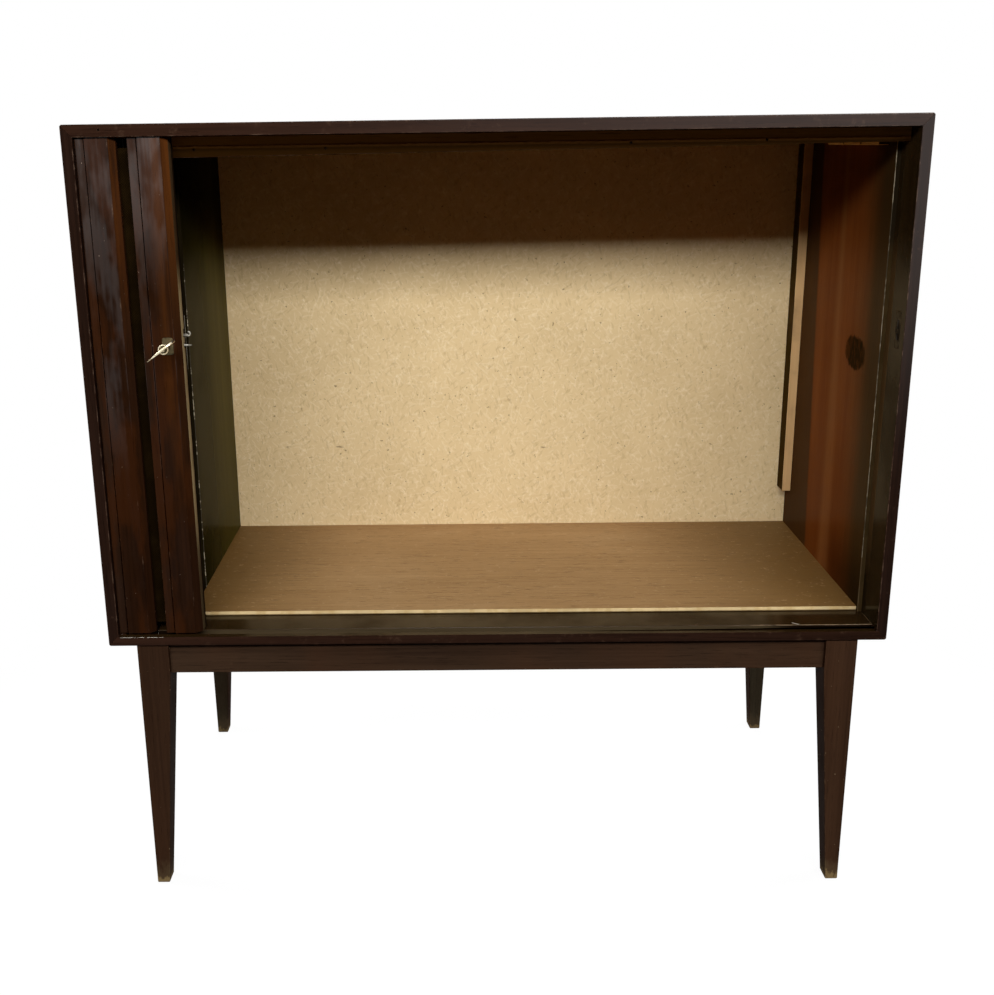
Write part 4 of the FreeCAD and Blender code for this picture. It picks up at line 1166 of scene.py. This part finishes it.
# Key: cast brass, a flat bow with a long eye, a collar, a round shank and a bit at its inner end. It is
# modelled along its own axis and then turned to the slant at which it sits in the lock.
brass = metal("worn brass", (0.42, 0.34, 0.22), (0.20, 0.15, 0.085), 0.25)
bright_brass = metal("rubbed brass", (0.80, 0.72, 0.53), (0.42, 0.33, 0.19), 0.2)
key_tilt = math.radians(37)
bow_wide = 0.038
bow_high = 0.022
bow_thick = 0.0026
bow_rim = 0.005
bow_ease = 0.0008
bow_taper = (1, 0.85, 0.4)
collar = 0.0055
collar_thick = 0.0025
collar_rim = 0.0012
collar_ease = 0.0003
shank_play = 0.0005
bit_long = 0.006
bit_deep = 0.002
key_low, key_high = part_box("key")
bow_base = bow_high - (key_place.y - key_low.y)
bow_middle = bow_base - bow_high / 2
shank_end = key_high.y - key_place.y
bpy.ops.mesh.primitive_circle_add(vertices=40, radius=bow_high / 2, fill_type="NGON",
                                  location=(0, bow_middle, -bow_thick / 2))
key = settle("lock_key", bright_brass, brass)
for way in (-1, 1):
    shift(key, lambda co: co.x * way > touch, (way * (bow_wide - bow_high) / 2, 0, 0))
pick(key, "FACE", lambda face: True)
bpy.ops.mesh.inset(thickness=bow_rim)
bpy.ops.mesh.delete(type="FACE")
bpy.ops.mesh.select_all(action="SELECT")
bpy.ops.mesh.extrude_region_move(TRANSFORM_OT_translate={"value": (0, 0, bow_thick)})
bpy.ops.mesh.select_all(action="SELECT")
bpy.ops.mesh.normals_make_consistent(inside=False)
close()
ease(key, bow_ease, steps=3)
pick(key, "VERT", lambda co: co.x < (bow_high - bow_wide) / 2 + 1e-5)
bpy.ops.transform.resize(value=bow_taper, center_override=(0, bow_middle, 0))
close()
face_finish(key, 1, lambda face: face.center.x < -bow_wide * 0.15)
shank = rod("shank", (0, shank_end, 0), (0, bow_base - bow_rim / 2, 0), keyhole - shank_play, bright_brass)
ring = rod("collar", (0, bow_base + collar_thick, 0), (0, bow_base, 0), collar, bright_brass, tarnished, sides=32)
pick(ring, "FACE", facing("-y"))
bpy.ops.mesh.inset(thickness=collar_rim)
bpy.ops.mesh.extrude_region_move(TRANSFORM_OT_translate={"value": (0, collar_thick * 0.5, 0)})
close()
face_finish(ring, 1, lambda face: facing("-y")(face) and face.center.y > bow_base + collar_thick * 0.25)
ease(ring, collar_ease, steps=2)
bit = block("bit", (0, shank_end - bit_deep, -bow_thick / 2), (bit_long, shank_end, bow_thick / 2), bright_brass)
weld(key, shank, ring, bit)
key.data.transform(Matrix.Translation(key_place) @ Matrix.Rotation(-key_tilt, 4, "Y"))
fit(key, "key", "brass", "key")

# Studio: a plain white floor and surround, a wide low strip of light in front for the crisp shadow under the
# top, soft fills at the sides, behind and above, and the camera at the photograph's place.


def white_where_seen(wire, tone):
    """1 for what is looked at, mirrored or seen through glass, and a colour that is white there."""
    direct, mirrored, through = [wire.node("LightPath", out=f"Is {ray} Ray")
                                 for ray in ("Camera", "Glossy", "Transmission")]
    seen = direct + mirrored + through
    return seen, wire.node("Mix", {0: seen, 6: (*tone, 1), 7: (1, 1, 1, 1)}, out=2, data_type="RGBA")


def studio_white(name):
    """White where it is looked at, matt for the light that falls on it, with a soft shadow round the feet."""
    material, place, (x, y, z) = start_finish(name)
    seen, tone = white_where_seen(place, (0.055, 0.025, 0.0075))
    matt = place.node("BsdfDiffuse", {"Color": tone})
    white = place.node("Emission", {"Color": (1, 1, 1, 1), "Strength": 1})
    near = (x * x + y * y).rise(0.9, 0.2)
    mixed = place.node("MixShader", {0: seen * (1 - near * 0.06), 1: matt, 2: white})
    place.node("OutputMaterial", {"Surface": mixed})
    return material


bpy.ops.mesh.primitive_plane_add(size=30, location=(0, 0, 0))
studio_floor = settle("studio_floor", studio_white("studio white"))

world = bpy.data.worlds.new("studio surround")
bpy.context.scene.world = world
world.use_nodes = True
world.node_tree.nodes.clear()
surround = Wire(world.node_tree)
_, glow = white_where_seen(surround, (0.0085, 0.0040, 0.0009))
sky = surround.node("Background", {"Color": glow, "Strength": 1})
surround.node("OutputWorld", {"Surface": sky})


def lamp(name, place, aim, size, power):
    """A rectangular lamp turned to a point; size is (across, up)."""
    bpy.ops.object.light_add(type="AREA", location=place)
    made = bpy.context.object
    made.name = name
    made.rotation_euler = (Vector(aim) - Vector(place)).to_track_quat("-Z", "Y").to_euler()
    made.data.shape = "RECTANGLE"
    made.data.size, made.data.size_y = size
    made.data.energy = power


middle = (0, 0, 0.6)
lamp("front strip", (0.4, -2.2, 1.79), (0.4, 0, 0.6), (4.4, 0.42), 113)
lamp("left fill", (-2.6, 0.4, 1.6), middle, (1.2, 1.2), 50)
lamp("right fill", (2.6, 0.4, 1.6), middle, (1.2, 1.2), 50)
lamp("rear fill", (0, 2.6, 1.7), middle, (1.6, 1.0), 52)
lamp("top fill", (0, 0.9, 2.6), middle, (1.4, 1.0), 15)

bpy.ops.object.camera_add(location=(-0.040171, -1.46713, 0.878871))
camera = bpy.context.object
camera.rotation_euler = [math.radians(turn) for turn in (74.24335, 0.76102, 0.58289)]
camera.data.sensor_width = 36
camera.data.lens = 43.1246
camera.data.shift_x = 0.05354
camera.data.shift_y = -0.01963
bpy.context.scene.camera = camera
bpy.context.scene.view_settings.view_transform = "Standard"
